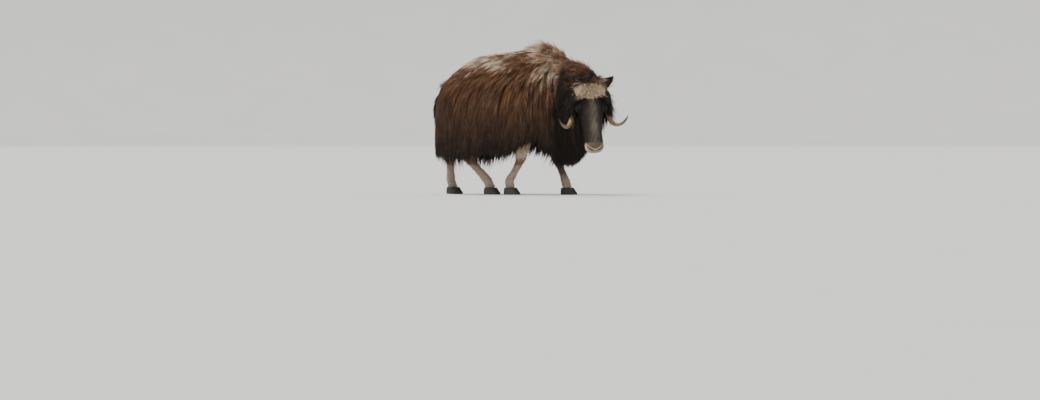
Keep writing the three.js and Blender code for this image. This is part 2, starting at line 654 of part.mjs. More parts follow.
// Every part, each cut clear of its neighbours.
const LEGS = { front_right: FORE_RIGHT, front_left: FORE_LEFT, hind_right: HIND_RIGHT, hind_left: HIND_LEFT };
const SIDES = { left: 1, right: -1 };

const clumps = (grow) => CLUMPS.map(({ at, size }) => ball(at, size.clone().addScalar(grow), 9, 5));
const headCore = (grow = 0) => union([skull(grow), brow(1, grow), brow(-1, grow)]);
const headShape = (grow = 0) => union([headCore(grow), ...clumps(grow), ...beard(grow)]);
const headGrown = headShape(GAP);
const lidsGrown = [lids(1, GAP), lids(-1, GAP)];
const coreGrown = union([headCore(GAP), ...lidsGrown]);
const eyesGrown = union([eye(1, GAP), eye(-1, GAP)]);
const hornsGrown = union([horn(1, GAP), horn(-1, GAP)]);
const earsGrown = union([ear(1, GAP), ear(-1, GAP)]);
const hair = union([...clumps(0), ...beard(0)]).subtract(union([hornsGrown, earsGrown]));
const headLocal = union([headCore(), hair, lids(1), lids(-1)]).subtract(union([mouthCuts(), eyesGrown]));
const parts = { head: largest(placed(headLocal)) };
for (const [name, side] of Object.entries(SIDES)) {
  parts[`eye_${name}`] = placed(eye(side));
  parts[`horn_${name}`] = largest(placed(horn(side).subtract(coreGrown).trimByPlane([0, side, 0], GAP)));
  parts[`ear_${name}`] = largest(placed(ear(side).subtract(union([coreGrown, hornsGrown]))));
}
const headClear = placed(union([headGrown, hornsGrown, earsGrown, eyesGrown, ...lidsGrown]));
const torsoClear = torsoShape(GAP);
parts.neck = largest(neckShape().subtract(headClear).subtract(torsoClear));
parts.tail = largest(tail().subtract(torsoSkin(GAP)));
const legsClear = union(Object.values(LEGS).map((rows) => leg(rows, GAP)));
const tailClear = tail(GAP);
const torso = union([torsoSkin(), torsoLocks().subtract(union([legsClear, tailClear]))]);
const skinClear = torsoSkin(GAP);
for (const [name, side] of Object.entries(SIDES)) {
  parts[`torso_${name}`] = largest(torso.trimByPlane([0, side, 0], GAP / 2));
}
for (const [name, rows] of Object.entries(LEGS)) {
  parts[`leg_${name}`] = largest(leg(rows).subtract(skinClear));
  parts[`hoof_${name}_inner`] = claw(rows, -Math.sign(rows[0][1]));
  parts[`hoof_${name}_outer`] = claw(rows, Math.sign(rows[0][1]));
}

// The colour, roughness and look of each kind of part.
const LOOKS = {
  head: ["#2a2320", 0.8],
  neck: ["#4a3022", 0.85],
  torso: ["#4b3325", 0.85],
  tail: ["#2f231d", 0.85],
  leg: ["#8a7863", 0.8],
  ear: ["#3a2a20", 0.8],
  hoof: ["#2b2622", 0.5],
  horn: ["#b09468", 0.45],
  eye: ["#120c08", 0.1],
};

const muskox = new THREE.Group();
for (const [name, shape] of Object.entries(parts)) {
  const mesh = shape.simplify(TIDY).getMesh();
  const geometry = new THREE.BufferGeometry()
    .setAttribute("position", new THREE.BufferAttribute(mesh.vertProperties, 3))
    .setIndex(new THREE.BufferAttribute(mesh.triVerts, 1));
  const [color, roughness] = LOOKS[name.split("_")[0]];
  const piece = new THREE.Mesh(geometry, new THREE.MeshStandardMaterial({ color, roughness, metalness: 0 }));
  piece.name = name;
  muskox.add(piece);
}

// The origin is on the floor, under the middle of the animal.
const box = new THREE.Box3().setFromObject(muskox);
const middle = box.getCenter(V(0, 0, 0));
muskox.position.set(-middle.x, -middle.y, -box.min.z);

export default muskox;
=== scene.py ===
import math

import bpy
import numpy as np
from mathutils import Matrix, Vector


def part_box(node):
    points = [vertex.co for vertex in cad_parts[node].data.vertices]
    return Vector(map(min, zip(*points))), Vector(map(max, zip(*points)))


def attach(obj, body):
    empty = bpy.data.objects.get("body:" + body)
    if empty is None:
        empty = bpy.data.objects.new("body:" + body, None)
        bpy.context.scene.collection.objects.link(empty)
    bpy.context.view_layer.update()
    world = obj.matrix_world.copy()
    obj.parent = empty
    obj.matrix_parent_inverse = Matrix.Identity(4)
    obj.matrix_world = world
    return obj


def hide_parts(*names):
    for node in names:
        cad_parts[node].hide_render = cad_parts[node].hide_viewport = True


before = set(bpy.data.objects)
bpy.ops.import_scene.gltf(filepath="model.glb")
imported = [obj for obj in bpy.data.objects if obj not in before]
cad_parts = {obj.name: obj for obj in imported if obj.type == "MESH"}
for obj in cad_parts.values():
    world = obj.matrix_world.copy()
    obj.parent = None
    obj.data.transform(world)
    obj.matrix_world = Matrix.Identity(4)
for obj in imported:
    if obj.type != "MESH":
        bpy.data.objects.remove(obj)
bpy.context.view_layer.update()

# A muskox cow at life size. Sizes are in millimetres in the animal's own frame, X forward, Y to its left and
# Z up, with the middle of the body over the origin. MM and SHIFT bring them into the frame.
MM = 0.001
FULL_TURN = 2 * math.pi
HOOF_PLACE = (520, 135)


def frame_shift():
    """Where the middle of the body stands in the frame, from the left fore hoof's two claws."""
    corners = np.array([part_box(f"hoof_front_left_{part}") for part in ("inner", "outer")])
    return np.append(corners.mean(axis=(0, 1))[:2] - np.multiply(HOOF_PLACE, MM), 0)


SHIFT = frame_shift()


def to_frame(points):
    return np.asarray(points) * MM + SHIFT


def profile(pairs):
    """A smooth curve through pairs of a place and a value, flat beyond its ends."""
    at, value = np.array(pairs, float).T
    slope = np.diff(value) / np.diff(at)
    before, after = np.r_[slope[0], slope], np.r_[slope, slope[-1]]
    product = before * after
    tangent = np.where(product > 0, 2 * product / np.where(product > 0, before + after, 1), 0)

    def curve(place):
        place = np.clip(place, at[0], at[-1])
        i = np.clip(np.searchsorted(at, place, side="right") - 1, 0, len(at) - 2)
        span = at[i + 1] - at[i]
        t = (place - at[i]) / span
        start = (2 * t**3 - 3 * t**2 + 1) * value[i] + (t**3 - 2 * t**2 + t) * span * tangent[i]
        return start + (3 * t**2 - 2 * t**3) * value[i + 1] + (t**3 - t**2) * span * tangent[i + 1]

    return curve


def around(count):
    """Evenly spaced angles, once round."""
    return np.linspace(0, FULL_TURN, count, endpoint=False)


def hill(*places):
    """1 where all places are 0, falling away on every side."""
    return np.exp(-sum(place ** 2 for place in places))


def smooth(low, high, value):
    """0 below low, 1 above high, with a soft step between."""
    t = np.clip((value - low) / (high - low), 0, 1)
    return t * t * (3 - 2 * t)


# The coat's outline, by height, and the depth of the skin under it.
COAT_REAR = profile([
    (200, -590), (300, -625), (450, -630), (600, -628), (765, -612), (887, -560), (968, -480), (1049, -365),
    (1110, -245), (1135, -120), (1150, 20), (1165, 150), (1190, 205), (1219, 262), (1235, 330),
])
COAT_FRONT = profile([
    (200, 480), (300, 545), (450, 615), (600, 640), (750, 640), (900, 622), (1000, 612), (1089, 600),
    (1105, 585), (1170, 514), (1219, 440), (1235, 385),
])
COAT_HALF = profile([
    (200, 270), (300, 292), (450, 312), (600, 322), (750, 315), (850, 292), (950, 255), (1050, 205),
    (1110, 168), (1150, 132), (1190, 98), (1219, 62), (1235, 24),
])
COAT_SQUARENESS = 2.15
COAT_TOP = 1235
HAIR_TOP = COAT_TOP + 22
SKIN_DEPTH = profile([(200, 56), (500, 54), (800, 46), (1050, 34), (1235, 26)])
SKIN_DROP = profile([(850, 0), (1050, 12), (1235, 24)])
SKIRT_BOTTOM = profile([
    (-600, 335), (-450, 262), (-320, 235), (-180, 275), (-60, 325), (60, 350), (170, 345), (270, 365),
    (400, 450), (520, 330), (620, 235),
])
BELLY = 455

# The neck's middle line, with the coat's half width, its reach above and below, and the skin's reach below.
NECK = np.array([
    (300, 0, 850, 120, 200, 260, 230), (430, 0, 850, 165, 262, 420, 260), (540, -6, 850, 170, 268, 650, 270),
    (640, -24, 850, 162, 250, 645, 250), (725, -54, 850, 150, 228, 600, 230),
    (790, -92, 845, 138, 205, 525, 200), (845, -136, 835, 118, 160, 400, 160),
], float)
MANE_DEPTH = 34

# The head's frame: x from the poll to the nose, y to its left, z out of the forehead.
HEAD_FRAME = (
    Matrix.Translation((868, -152, 905)) @ Matrix.Rotation(math.radians(-51), 4, "Z")
    @ Matrix.Rotation(math.radians(2.5), 4, "X") @ Matrix.Rotation(math.radians(65), 4, "Y")
)
HEAD_TURN = np.array(HEAD_FRAME.to_3x3())
HEAD_PLACE = np.array(HEAD_FRAME.translation)
HEAD = np.array([
    (-45, -40, -150, 70), (-15, -8, -190, 104), (50, 8, -225, 118), (120, 6, -238, 121), (180, 2, -232, 118),
    (240, -5, -214, 103), (300, -13, -196, 89), (360, -22, -182, 78), (420, -31, -172, 72),
    (470, -37, -166, 72), (512, -45, -162, 75), (542, -60, -154, 68), (558, -78, -140, 50),
], float)
EYE_AT = np.array((205, 112, -52), float)
EYE_RADIUS = 21
# How far past the opening's edge, in radians, and how far outside the eyeball a lid's surface runs.
LID_PROFILE = [(-0.02, 0.4), (0.0, 1.8), (0.05, 3.4), (0.16, 4.4), (0.34, 4.2), (0.6, 3.6), (0.95, 4.0)]
HORN = np.array([
    (70, 24, 6, 34, 12), (68, 48, 10, 46, 18), (71, 80, 4, 50, 21), (82, 110, -22, 44, 23),
    (106, 130, -64, 35, 24), (150, 140, -110, 28, 22), (208, 147, -140, 23, 20), (264, 160, -147, 20, 18),
    (312, 184, -130, 17, 15.5), (340, 216, -92, 14, 13), (341, 248, -50, 11, 10), (326, 270, -14, 7, 7),
    (304, 284, 16, 0.6, 0.6),
], float)
EAR_ROOT, EAR_TIP = np.array((34, 108, -44), float), np.array((-42, 196, -10), float)
EAR_WIDTH = 62
HORN_STEPS, HORN_SQUARENESS = 150, 2.3
SIDES = {"left": 1, "right": -1}

# Each leg's middle line from inside the body to the top of the hoof, with half its depth and half its width.
LEGS = {
    "front_right": [
        (290, -146, 600, 78, 56), (285, -146, 530, 72, 54), (266, -146, 440, 58, 47),
        (242, -141, 340, 43, 40), (228, -139, 298, 43, 40), (208, -137, 255, 32, 31),
        (166, -136, 185, 28, 27), (122, -135, 115, 35, 34), (122, -135, 84, 33, 36),
        (130, -135, 50, 38, 42),
    ],
    "front_left": [
        (335, 146, 600, 78, 56), (345, 146, 530, 72, 54), (362, 146, 440, 58, 47),
        (384, 141, 345, 43, 40), (396, 139, 304, 43, 40), (420, 137, 255, 32, 31),
        (455, 136, 185, 28, 27), (484, 135, 115, 35, 34), (494, 135, 84, 33, 36),
        (505, 135, 50, 38, 42),
    ],
    "hind_right": [
        (-340, -130, 640, 105, 62), (-290, -136, 560, 98, 60), (-290, -138, 480, 76, 50),
        (-312, -136, 395, 50, 38), (-308, -131, 345, 45, 36), (-262, -128, 282, 35, 31),
        (-180, -126, 205, 31, 28), (-98, -125, 122, 36, 34), (-76, -125, 86, 34, 36),
        (-62, -125, 50, 38, 42),
    ],
    "hind_left": [
        (-380, 120, 610, 84, 56), (-430, 122, 550, 78, 54), (-488, 122, 486, 66, 48),
        (-560, 116, 415, 50, 38), (-578, 110, 362, 45, 36), (-577, 108, 290, 34, 31),
        (-576, 107, 205, 31, 28), (-572, 106, 122, 36, 34), (-562, 106, 86, 34, 36),
        (-550, 106, 50, 38, 42),
    ],
}
HOOF_TOP = 56.6
HOOF_LENGTH, HOOF_WIDTH, CLEFT = 118, 108, 7
TAIL = [(-480, 0, 900, 30, 34), (-560, 0, 872, 27, 32), (-602, 0, 815, 20, 24), (-610, 0, 780, 8, 9)]


def squared(value, squareness):
    return np.sign(value) * np.abs(value) ** (2 / squareness)


def spaced(*parts):
    return np.stack(np.broadcast_arrays(*parts), axis=-1)


def coat_point(turn, z, inset=0.0, level=None):
    """A point on the coat's outline, at a turn from straight ahead and a height, moved inside it."""
    level = z if level is None else level
    rear, front, half = COAT_REAR(level), COAT_FRONT(level), COAT_HALF(level)
    inside = np.minimum(inset, 0.45 * half)
    x = (front + rear) / 2 + ((front - rear) / 2 - inside) * squared(np.cos(turn), COAT_SQUARENESS)
    return spaced(x, (half - inside) * squared(np.sin(turn), COAT_SQUARENESS), z)


def neck_point(share, turn, full):
    """A point on the neck, at a turn from its crest. Full is 1 at the mane's tips and 0 on the skin."""
    place = np.clip(np.asarray(share, float) * (len(NECK) - 1), 0, len(NECK) - 1.001)
    low = place.astype(int)
    rest = (place - low)[..., None]
    row = NECK[low] * (1 - rest) + NECK[low + 1] * rest
    along = NECK[low + 1, :2] - NECK[low, :2]
    along /= np.linalg.norm(along, axis=-1, keepdims=True)
    half, up, down, skin = (row[..., i] for i in (3, 4, 5, 6))
    depth = MANE_DEPTH * (1 - full)
    wide = (half - depth) * np.sin(turn)
    height = np.where(np.cos(turn) > 0, up - depth, skin + (down - skin) * full) * np.cos(turn)
    x, y = row[..., 0] - along[..., 1] * wide, row[..., 1] + along[..., 0] * wide
    return spaced(x, y, row[..., 2] + height)


def in_head(points):
    return np.asarray(points) @ HEAD_TURN.T + HEAD_PLACE


def from_head(points):
    """Points of the animal's frame in the head's."""
    return (np.asarray(points) - HEAD_PLACE) @ HEAD_TURN


def unit(vectors):
    return vectors / np.maximum(np.linalg.norm(vectors, axis=-1, keepdims=True), 1e-9)


def curve_through(points, count):
    """Evenly counted points on a Catmull-Rom curve through rows of numbers, whatever each row holds."""
    rows = np.asarray(points, float)
    rows = np.vstack([2 * rows[0] - rows[1], rows, 2 * rows[-1] - rows[-2]])
    place = np.linspace(0, len(rows) - 3, count)
    i = np.minimum(place.astype(int), len(rows) - 4)
    t = (place - i)[:, None]
    a, b, c, d = rows[i], rows[i + 1], rows[i + 2], rows[i + 3]
    return 0.5 * (2 * b + (c - a) * t + (2 * a - 5 * b + 4 * c - d) * t**2 + (3 * b - a - 3 * c + d) * t**3)


def loft_faces(rings, count, closed=True):
    """Quads between rings of points, with a fan to the two last points of the mesh where it is closed."""
    grid = np.arange(rings * count).reshape(rings, count)
    turned = np.roll(grid, -1, axis=1)
    faces = np.stack([grid[:-1], turned[:-1], turned[1:], grid[1:]], axis=-1).reshape(-1, 4).tolist()
    if closed:
        start, end = rings * count, rings * count + 1
        faces += [(start, b, a) for a, b in zip(grid[0], turned[0])]
        faces += [(end, a, b) for a, b in zip(grid[-1], turned[-1])]
    return faces


def loft(rings):
    """Points and faces of a closed form through an array of rings."""
    rings = np.asarray(rings, float)
    ends = np.stack([rings[0].mean(axis=0), rings[-1].mean(axis=0)])
    points = np.vstack([rings.reshape(-1, 3), ends])
    return points, loft_faces(rings.shape[0], rings.shape[1])


def joined(forms):
    points, faces, count = [], [], 0
    for form_points, form_faces in forms:
        points.append(form_points)
        faces += [tuple(int(v) + count for v in face) for face in form_faces]
        count += len(form_points)
    return np.vstack(points), faces


def placed(name, data):
    """A new object in the scene, with its data."""
    made = bpy.data.objects.new(name, data)
    bpy.context.scene.collection.objects.link(made)
    return made


def make_piece(name, points, faces):
    """A smooth mesh object of points in millimetres in the animal's frame."""
    mesh = bpy.data.meshes.new(name)
    mesh.from_pydata(to_frame(points).tolist(), [], [tuple(int(v) for v in face) for face in faces])
    mesh.update()
    mesh.shade_smooth()
    return placed(name, mesh)


def remeshed(piece, voxel, passes):
    """The piece as one even closed surface, softened by some passes."""
    remesh = piece.modifiers.new("even", "REMESH")
    remesh.mode = "VOXEL"
    remesh.voxel_size = voxel * MM
    soften = piece.modifiers.new("soften", "SMOOTH")
    soften.factor = 0.5
    soften.iterations = passes
    evaluated = piece.evaluated_get(bpy.context.evaluated_depsgraph_get())
    old, piece.data = piece.data, bpy.data.meshes.new_from_object(evaluated)
    piece.modifiers.clear()
    bpy.data.meshes.remove(old)
    piece.data.shade_smooth()
    return piece


def points_of(mesh):
    flat = np.empty(len(mesh.vertices) * 3)
    mesh.vertices.foreach_get("co", flat)
    return (flat.reshape(-1, 3) - SHIFT) / MM


# The skin's forms.

def limb_form(rows, sides=28, count=46):
    """A tube along rows of x, y, z, half depth and half width."""
    rows = curve_through(rows, count)
    along = unit(np.gradient(rows[:, :3], axis=0))
    ahead = unit(np.cross(np.array([0.0, 1.0, 0.0]), along))
    across = unit(np.cross(along, ahead))
    turn = around(sides)
    ring = ahead[:, None] * (rows[:, 3, None] * np.cos(turn))[..., None]
    ring = ring + across[:, None] * (rows[:, 4, None] * np.sin(turn))[..., None]
    return loft(rows[:, None, :3] + ring)


def torso_form():
    turn = around(72)
    belly = coat_point(turn, BELLY + 5.0, SKIN_DEPTH(450) + 40)
    levels = np.r_[np.linspace(500, 1100, 22), np.linspace(1115, 1232, 12)]
    rings = [coat_point(turn, level - SKIN_DROP(level), SKIN_DEPTH(level), level) for level in levels]
    low = belly * (1, 1, 0) * 0.6 + (0, 0, BELLY)
    return loft([low, belly, *rings])


def neck_form():
    turn = around(48)
    return loft([neck_point(np.full(48, share), turn, 0.0) for share in np.linspace(0, 1, 24)])


HEAD_TOP, HEAD_LOW, HEAD_HALF = (profile(HEAD[:, (0, column)]) for column in (1, 2, 3))


def skull_form():
    """The skull in the head's frame, narrower over the nose than along the jaw."""
    turn = around(56)
    rings = []
    for x in np.r_[np.linspace(-45, 540, 60), 550, 557, 562]:
        top, low, half = HEAD_TOP(x), HEAD_LOW(x), HEAD_HALF(x)
        if x > 558:
            top, low, half = top - 8, low + 10, half - 12
        c, s = squared(np.cos(turn), 2.5), squared(np.sin(turn), 2.5)
        narrow = 1 - 0.1 * smooth(250, 420, x) * smooth(0, 1, c)
        rings.append(spaced(x, half * s * narrow, (top + low) / 2 + (top - low) / 2 * c))
    return loft(rings)


def ball_form(at, radii, sides=28):
    turn = around(sides)
    tilt = np.linspace(-math.pi / 2, math.pi / 2, sides // 2 + 2)[1:-1, None]
    ring = spaced(np.cos(tilt) * np.cos(turn), np.cos(tilt) * np.sin(turn), np.sin(tilt))
    return loft(np.asarray(at) + ring * np.asarray(radii))


def ear_form(side):
    """A cupped leaf: its back is round, and its front is sunk between raised edges."""
    root, tip = EAR_ROOT * (1, side, 1), EAR_TIP * (1, side, 1)
    along = tip - root
    across = unit(np.cross(along, np.array((0.42, side * 0.35, 0.85))))
    front = unit(np.cross(across, along))
    turn = around(36)
    width = profile([(0, 0.5), (0.2, 0.78), (0.42, 1), (0.64, 0.92), (0.84, 0.6), (0.95, 0.3), (1, 0.06)])
    rings = []
    for share in np.linspace(0, 1, 26):
        half = EAR_WIDTH / 2 * width(share)
        cup = smooth(0.12, 0.35, share) * (1 - smooth(0.9, 1, share))
        facing = np.maximum(np.cos(turn), 0)
        deep = half * 0.62 * np.cos(turn) * np.where(np.cos(turn) > 0, 1 - 1.75 * cup * facing, 1)
        middle = root + along * share
        rings.append(middle + across * (half * np.sin(turn))[:, None] + front * deep[:, None])
    return loft(rings)


def off_mouth(x, z):
    """How far above the mouth's line a point of the head is."""
    return z + 128 - 14 * smooth(430, 555, x)


def mouth_line(x, z):
    """How deep in the mouth's line a point of the head is, from its corner round the muzzle."""
    return hill(off_mouth(x, z) / 4.5) * smooth(418, 450, x)


def nostril_pit(x, wide, z, across=22, tall=8.5):
    """How deep in a nostril a point of the head is. The nostrils are slanted pits at the muzzle's corners."""
    slant = (x - 541) * 0.5 + (wide - 40) * 0.85
    return hill(slant / across, (z + 82 - 0.2 * (wide - 40)) / tall) * smooth(505, 530, x)


def head_shape(points):
    """Moves points in the head's frame into the muzzle's, cheek's and eye sockets' finer forms."""
    x, y, z = points.T
    wide = np.abs(y)
    lips = hill((np.abs(off_mouth(x, z)) - 13) / 8) * smooth(450, 500, x)
    nostril, rim = nostril_pit(x, wide, z), nostril_pit(x, wide, z, 30, 17)
    push = 5 * rim + 3 * lips - 7 * mouth_line(x, z) - 17 * nostril
    # The cheek's muscle, the hollow before the eye and the eye's socket.
    cheek = 9 * hill((x - 150) / 90, (z + 165) / 55)
    hollow = 9 * hill((x - 285) / 55, (z + 95) / 30)
    socket = 14 * hill((x - EYE_AT[0]) / 22, (z - EYE_AT[2]) / 18) * (wide > 70)
    middle_z = (HEAD_TOP(x) + HEAD_LOW(x)) / 2
    out = unit(spaced(0.5 * smooth(520, 560, x), y / np.maximum(HEAD_HALF(x), 1), (z - middle_z) / 110))
    moved = points + out * push[:, None]
    moved[:, 1] += np.where(y >= 0, 1, -1) * ((cheek - hollow) * smooth(30, 60, wide) - socket)
    return moved


def head_skin():
    """The head and ears as one fine surface."""
    forms = [skull_form()]
    for side in (1, -1):
        forms.append(ball_form((EYE_AT[0] - 14, side * (EYE_AT[1] - 27), EYE_AT[2] - 4), (54, 38, 41)))
        forms.append(ear_form(side))
    piece = remeshed(make_piece("head_skin", *joined(forms)), 3.2, 3)
    local = points_of(piece.data)
    near_ear = smooth(118, 128, np.abs(local[:, 1])) * (local[:, 0] < 120)
    shaped = head_shape(local)
    local = local * near_ear[:, None] + shaped * (1 - near_ear[:, None])
    piece.data.vertices.foreach_set("co", to_frame(in_head(local)).ravel())
    piece.data.update()
    return piece


def eye_axes(side):
    """The directions along the lids, out of the eye and up across the lids, in the head's frame."""
    facing = unit(np.array((0.42, side * 0.86, 0.3)))
    ahead = unit(np.array((1.0, 0, 0)) - facing * facing[0])
    return ahead, facing, np.cross(ahead, facing) * side


def lid_form(side):
    """The upper and lower lid of one eye: a shell over the eyeball with an almond opening."""
    turn = around(64)
    centre = EYE_AT * (1, side, 1)
    c, s = np.cos(turn), np.sin(turn)
    ahead, facing, up = eye_axes(side)
    opening = 1 / np.sqrt((c / math.radians(56)) ** 2 + (s / np.radians(np.where(s > 0, 30, 34))) ** 2)
    rings = []
    for further, thick in LID_PROFILE:
        polar = opening + further
        radius = EYE_RADIUS + thick
        flat = ahead * (np.sin(polar) * c)[:, None] + up * (np.sin(polar) * s)[:, None]
        rings.append(centre + radius * (flat + facing * np.cos(polar)[:, None]))
    return in_head(np.vstack(rings)), loft_faces(len(rings), len(turn), closed=False)


def make_skin():
    """One skin for every part of the body that is flesh."""
    forms = [torso_form(), neck_form(), limb_form(TAIL, 20, 24)]
    forms += [limb_form(rows) for rows in LEGS.values()]
    body = remeshed(make_piece("skin", *joined(forms)), 9, 10)
    head = head_skin()
    lids = [make_piece(f"lid_{name}", *lid_form(side)) for name, side in SIDES.items()]
    with bpy.context.temp_override(active_object=body, selected_editable_objects=[body, head, *lids]):
        bpy.ops.object.join()
    sided = [f"{part}_{name}" for part in ("torso", "ear") for name in SIDES]
    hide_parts("head", "neck", "tail", *sided, *[f"leg_{name}" for name in LEGS])
    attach(body, "root")
    return body


# The markings, which skin and coat share, with painted shade in their black under the head and on the far
# foreleg. All that is lower than the skirt and behind this place is leg.
MUZZLE_BEHIND = 560


def band(value, start, full, fading, gone):
    """1 from full to fading, and 0 below start and above gone."""
    return smooth(start, full, value) * (1 - smooth(fading, gone, value))


def body_marks(x, y, z, wave):
    """How pale, rusty and black the trunk, neck and legs are, with painted shade under the head and on the
    far foreleg, and how much it is leg.
    """
    saddle_edge = 1058 + 40 * ((x - 60) / 220) ** 2
    saddle = smooth(-20, 20, z + 0.5 * wave - saddle_edge) * smooth(-245, -180, x + 0.6 * wave)
    saddle = saddle * (1 - smooth(200, 232, x))
    hump = smooth(1125, 1175, z + wave + 45 * smooth(360, 400, x)) * smooth(235, 265, x)
    hump = hump * (1 - smooth(400, 455, x + 0.5 * wave))
    streaks = band(z, 990, 1030, 1075, 1120) * band(x, 380, 430, 560, 640)
    shoulder = smooth(900, 1010, z + wave) * smooth(330, 430, x)
    behind = smooth(950, 1040, z + wave) * (1 - smooth(-330, -200, x))
    flank = 0.25 * smooth(600, 900, z + wave) + 0.5 * smooth(890, 1020, z + wave)
    leg = (1 - smooth(400, 470, z)) * (x < MUZZLE_BEHIND)
    skirt = (1 - smooth(470, 900, z + wave + 60 * smooth(-200, -520, x))) * (1 - leg)
    # The throat and chest under the head are near black: partly their own dark hair, partly painted shade
    # under the head.
    front = x + 0.35 * np.abs(y) + 0.6 * np.clip(640 - z, 0, 250)
    throat = smooth(525, 570, front) * (1 - smooth(1010, 1060, z + 0.5 * wave))
    throat = throat * (1 - 0.75 * smooth(690, 740, x) * smooth(940, 985, z)) * (1 - leg)
    knee = 0.75 * leg * band(z, 225, 255, 285, 315)
    # Painted shade: the far foreleg is near black from about 200 mm up, where the shade under the chest falls
    # on it, fading out towards the hoof.
    far_foreleg_shade = 0.8 * leg * (x > 380) * smooth(110, 200, z)
    thigh = 0.8 * leg * smooth(285, 320, z) * (x > 150) * (y < 0)
    pale = saddle + 0.85 * hump + 0.6 * streaks + thigh
    rust = np.maximum.reduce([shoulder, 0.8 * behind, flank, knee])
    return pale, rust, np.maximum.reduce([skirt, throat, far_foreleg_shade]), leg


def head_marks(points, wave):
    """How much a point is of the head, and how pale, rusty and black the head is there."""
    x, y, z = from_head(points).T
    wide = np.abs(y)
    head = smooth(-40, -5, x) * (wide < 200) * smooth(-285, -225, z)
    edge = x + 0.2 * wave + 26 * (wide / 95) ** 2 - 24 * hill(y / 26)
    wool = smooth(4, 16, x) * (1 - smooth(112, 128, edge)) * smooth(-44, -24, z) * (wide < 112)
    grey = 0.5 + 0.5 * np.sin(x / 17 + 2 * np.sin(y / 14)) * np.sin(y / 11 + x / 41)
    streak = (0.1 + 0.12 * grey) * hill((y - 6) / 36) * smooth(120, 170, x) * smooth(-90, -60, z)
    round_muzzle = np.hypot(np.maximum(x - 478, 0) / 78, wide / 74)
    lip = smooth(0.88, 0.98, round_muzzle) * smooth(484, 506, x) * (z < -52)
    muzzle = 0.19 * smooth(486, 520, x)
    bare = np.clip(1 - 1.1 * (nostril_pit(x, wide, z) + mouth_line(x, z)), 0, 1)
    ear = smooth(122, 136, wide) * (x < 100) * (z > -90)
    crown = (1 - smooth(-6, 8, x)) * smooth(-130, -60, z)
    pale = np.maximum.reduce([0.72 * wool, streak, 0.95 * lip, muzzle]) * bare
    rust = np.maximum.reduce([0.3 * ear, 0.8 * crown, 0.9 * wool])
    return head, pale, rust, np.clip(1 - 0.25 * ear - 0.8 * crown - wool, 0, 1)


def markings(points):
    """How pale, how rusty and how black the coat is at points in the animal's frame, and how much leg."""
    x, y, z = points.T
    wave = 26 * np.sin(x / 61 + y / 90) + 18 * np.sin(x / 27 + z / 45)
    *body, leg = body_marks(x, y, z, wave)
    head, *face = head_marks(points, wave)
    shares = [np.clip(a * (1 - head) + head * b, 0, 1) for a, b in zip(body, face)]
    return spaced(*shares, leg)


def set_attribute(mesh, name, values):
    layer = mesh.attributes.new(name, "FLOAT_COLOR", "POINT")
    layer.data.foreach_set("color", np.asarray(values, np.float32).ravel())


# The coat: flat tapered strands, gathered in locks that follow the lie of the hair. A strand's thickness is a
# share of its width, and its patch of the unwrapped map is a share of the whole map.
STRAND_THICKNESS, BAKE_PATCH = 0.352, 0.003


def strand_mesh(name, lines, widths, outward, tone, bake, marks):
    """One mesh of strands. Lines holds the middle points of each, from root to tip."""
    count, steps = lines.shape[:2]
    along = unit(np.gradient(lines, axis=1))
    across = unit(np.cross(along, outward))
    up = np.cross(across, along)
    half, thick = widths[..., None] / 2, widths[..., None] * STRAND_THICKNESS
    body = np.stack([lines + across * half, lines - across * half, lines + up * thick], axis=2)[:, :-1]
    points = np.concatenate([body.reshape(count, -1, 3), lines[:, -1:]], axis=1)
    rows = steps - 1
    faces = [(2, 1, 0)]
    for i in range(rows - 1):
        for j in range(3):
            k = (j + 1) % 3
            a, b, c, d = 3 * i + j, 3 * i + k, 3 * i + 3 + j, 3 * i + 3 + k
            faces += [(a, b, d), (a, d, c)]
    faces += [(3 * rows - 3 + j, 3 * rows - 3 + (j + 1) % 3, 3 * rows) for j in range(3)]
    each = 3 * rows + 1
    triangles = (np.array(faces)[None] + each * np.arange(count)[:, None, None]).reshape(-1, 3)
    mesh = bpy.data.meshes.new(name)
    mesh.vertices.add(count * each)
    mesh.vertices.foreach_set("co", to_frame(points).ravel())
    mesh.loops.add(len(triangles) * 3)
    mesh.loops.foreach_set("vertex_index", triangles.ravel().astype(np.int32))
    mesh.polygons.add(len(triangles))
    mesh.polygons.foreach_set("loop_start", np.arange(len(triangles), dtype=np.int32) * 3)
    mesh.polygons.foreach_set("use_smooth", np.ones(len(triangles), bool))
    share = np.r_[np.repeat(np.arange(rows) / rows, 3), 1.0]
    corner = np.r_[np.tile((0.0, 1.0, 0.5), rows), 0.5]
    local = BAKE_PATCH * spaced(corner, share)
    place = (bake[:, None] + local[None]).reshape(-1, 2)
    layer = mesh.uv_layers.new(name="OFBake")
    layer.data.foreach_set("uv", place[triangles.ravel()].astype(np.float32).ravel())
    set_attribute(mesh, "marks", np.repeat(marks, each, axis=0))
    detail = np.empty((count, each, 4))
    detail[..., 0], detail[..., 1:3], detail[..., 3] = share, tone[:, None], 1
    set_attribute(mesh, "lock", detail)
    mesh.update(calc_edges=True)
    mesh.validate()
    return placed(name, mesh)


# The most triangles in a piece, the locks and what each holds, and the heights that they grow at.
STRAND_LIMIT = 190_000
TORSO_LOCKS, MANE_LOCKS, PER_LOCK, LOCK_STEPS = 3500, 1400, 9, 5
LOWEST_ROOT, HIGHEST_ROOT = 468, 1212
LOCK_LENGTH = profile([
    (468, 150), (600, 300), (770, 330), (920, 300), (1010, 190), (1070, 85), (1120, 75), (1215, 70),
])
# How wide a lock is at its tip, as a share of its width at the root.
LOCK_CLOSING = 0.45


def strand_pieces(name, lines, widths, outward, tone, bake, material, slot, marks):
    """The strands as pieces of fewer than STRAND_LIMIT triangles each."""
    each = 6 * (lines.shape[1] - 2) + 4
    size = STRAND_LIMIT // each
    for i, start in enumerate(range(0, len(lines), size)):
        part = slice(start, start + size)
        shared = [values[part] for values in (lines, widths, outward, tone, bake, marks)]
        piece = strand_mesh(f"{name}_{i + 1}", *shared)
        piece.data.materials.append(material)
        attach(piece, "root")


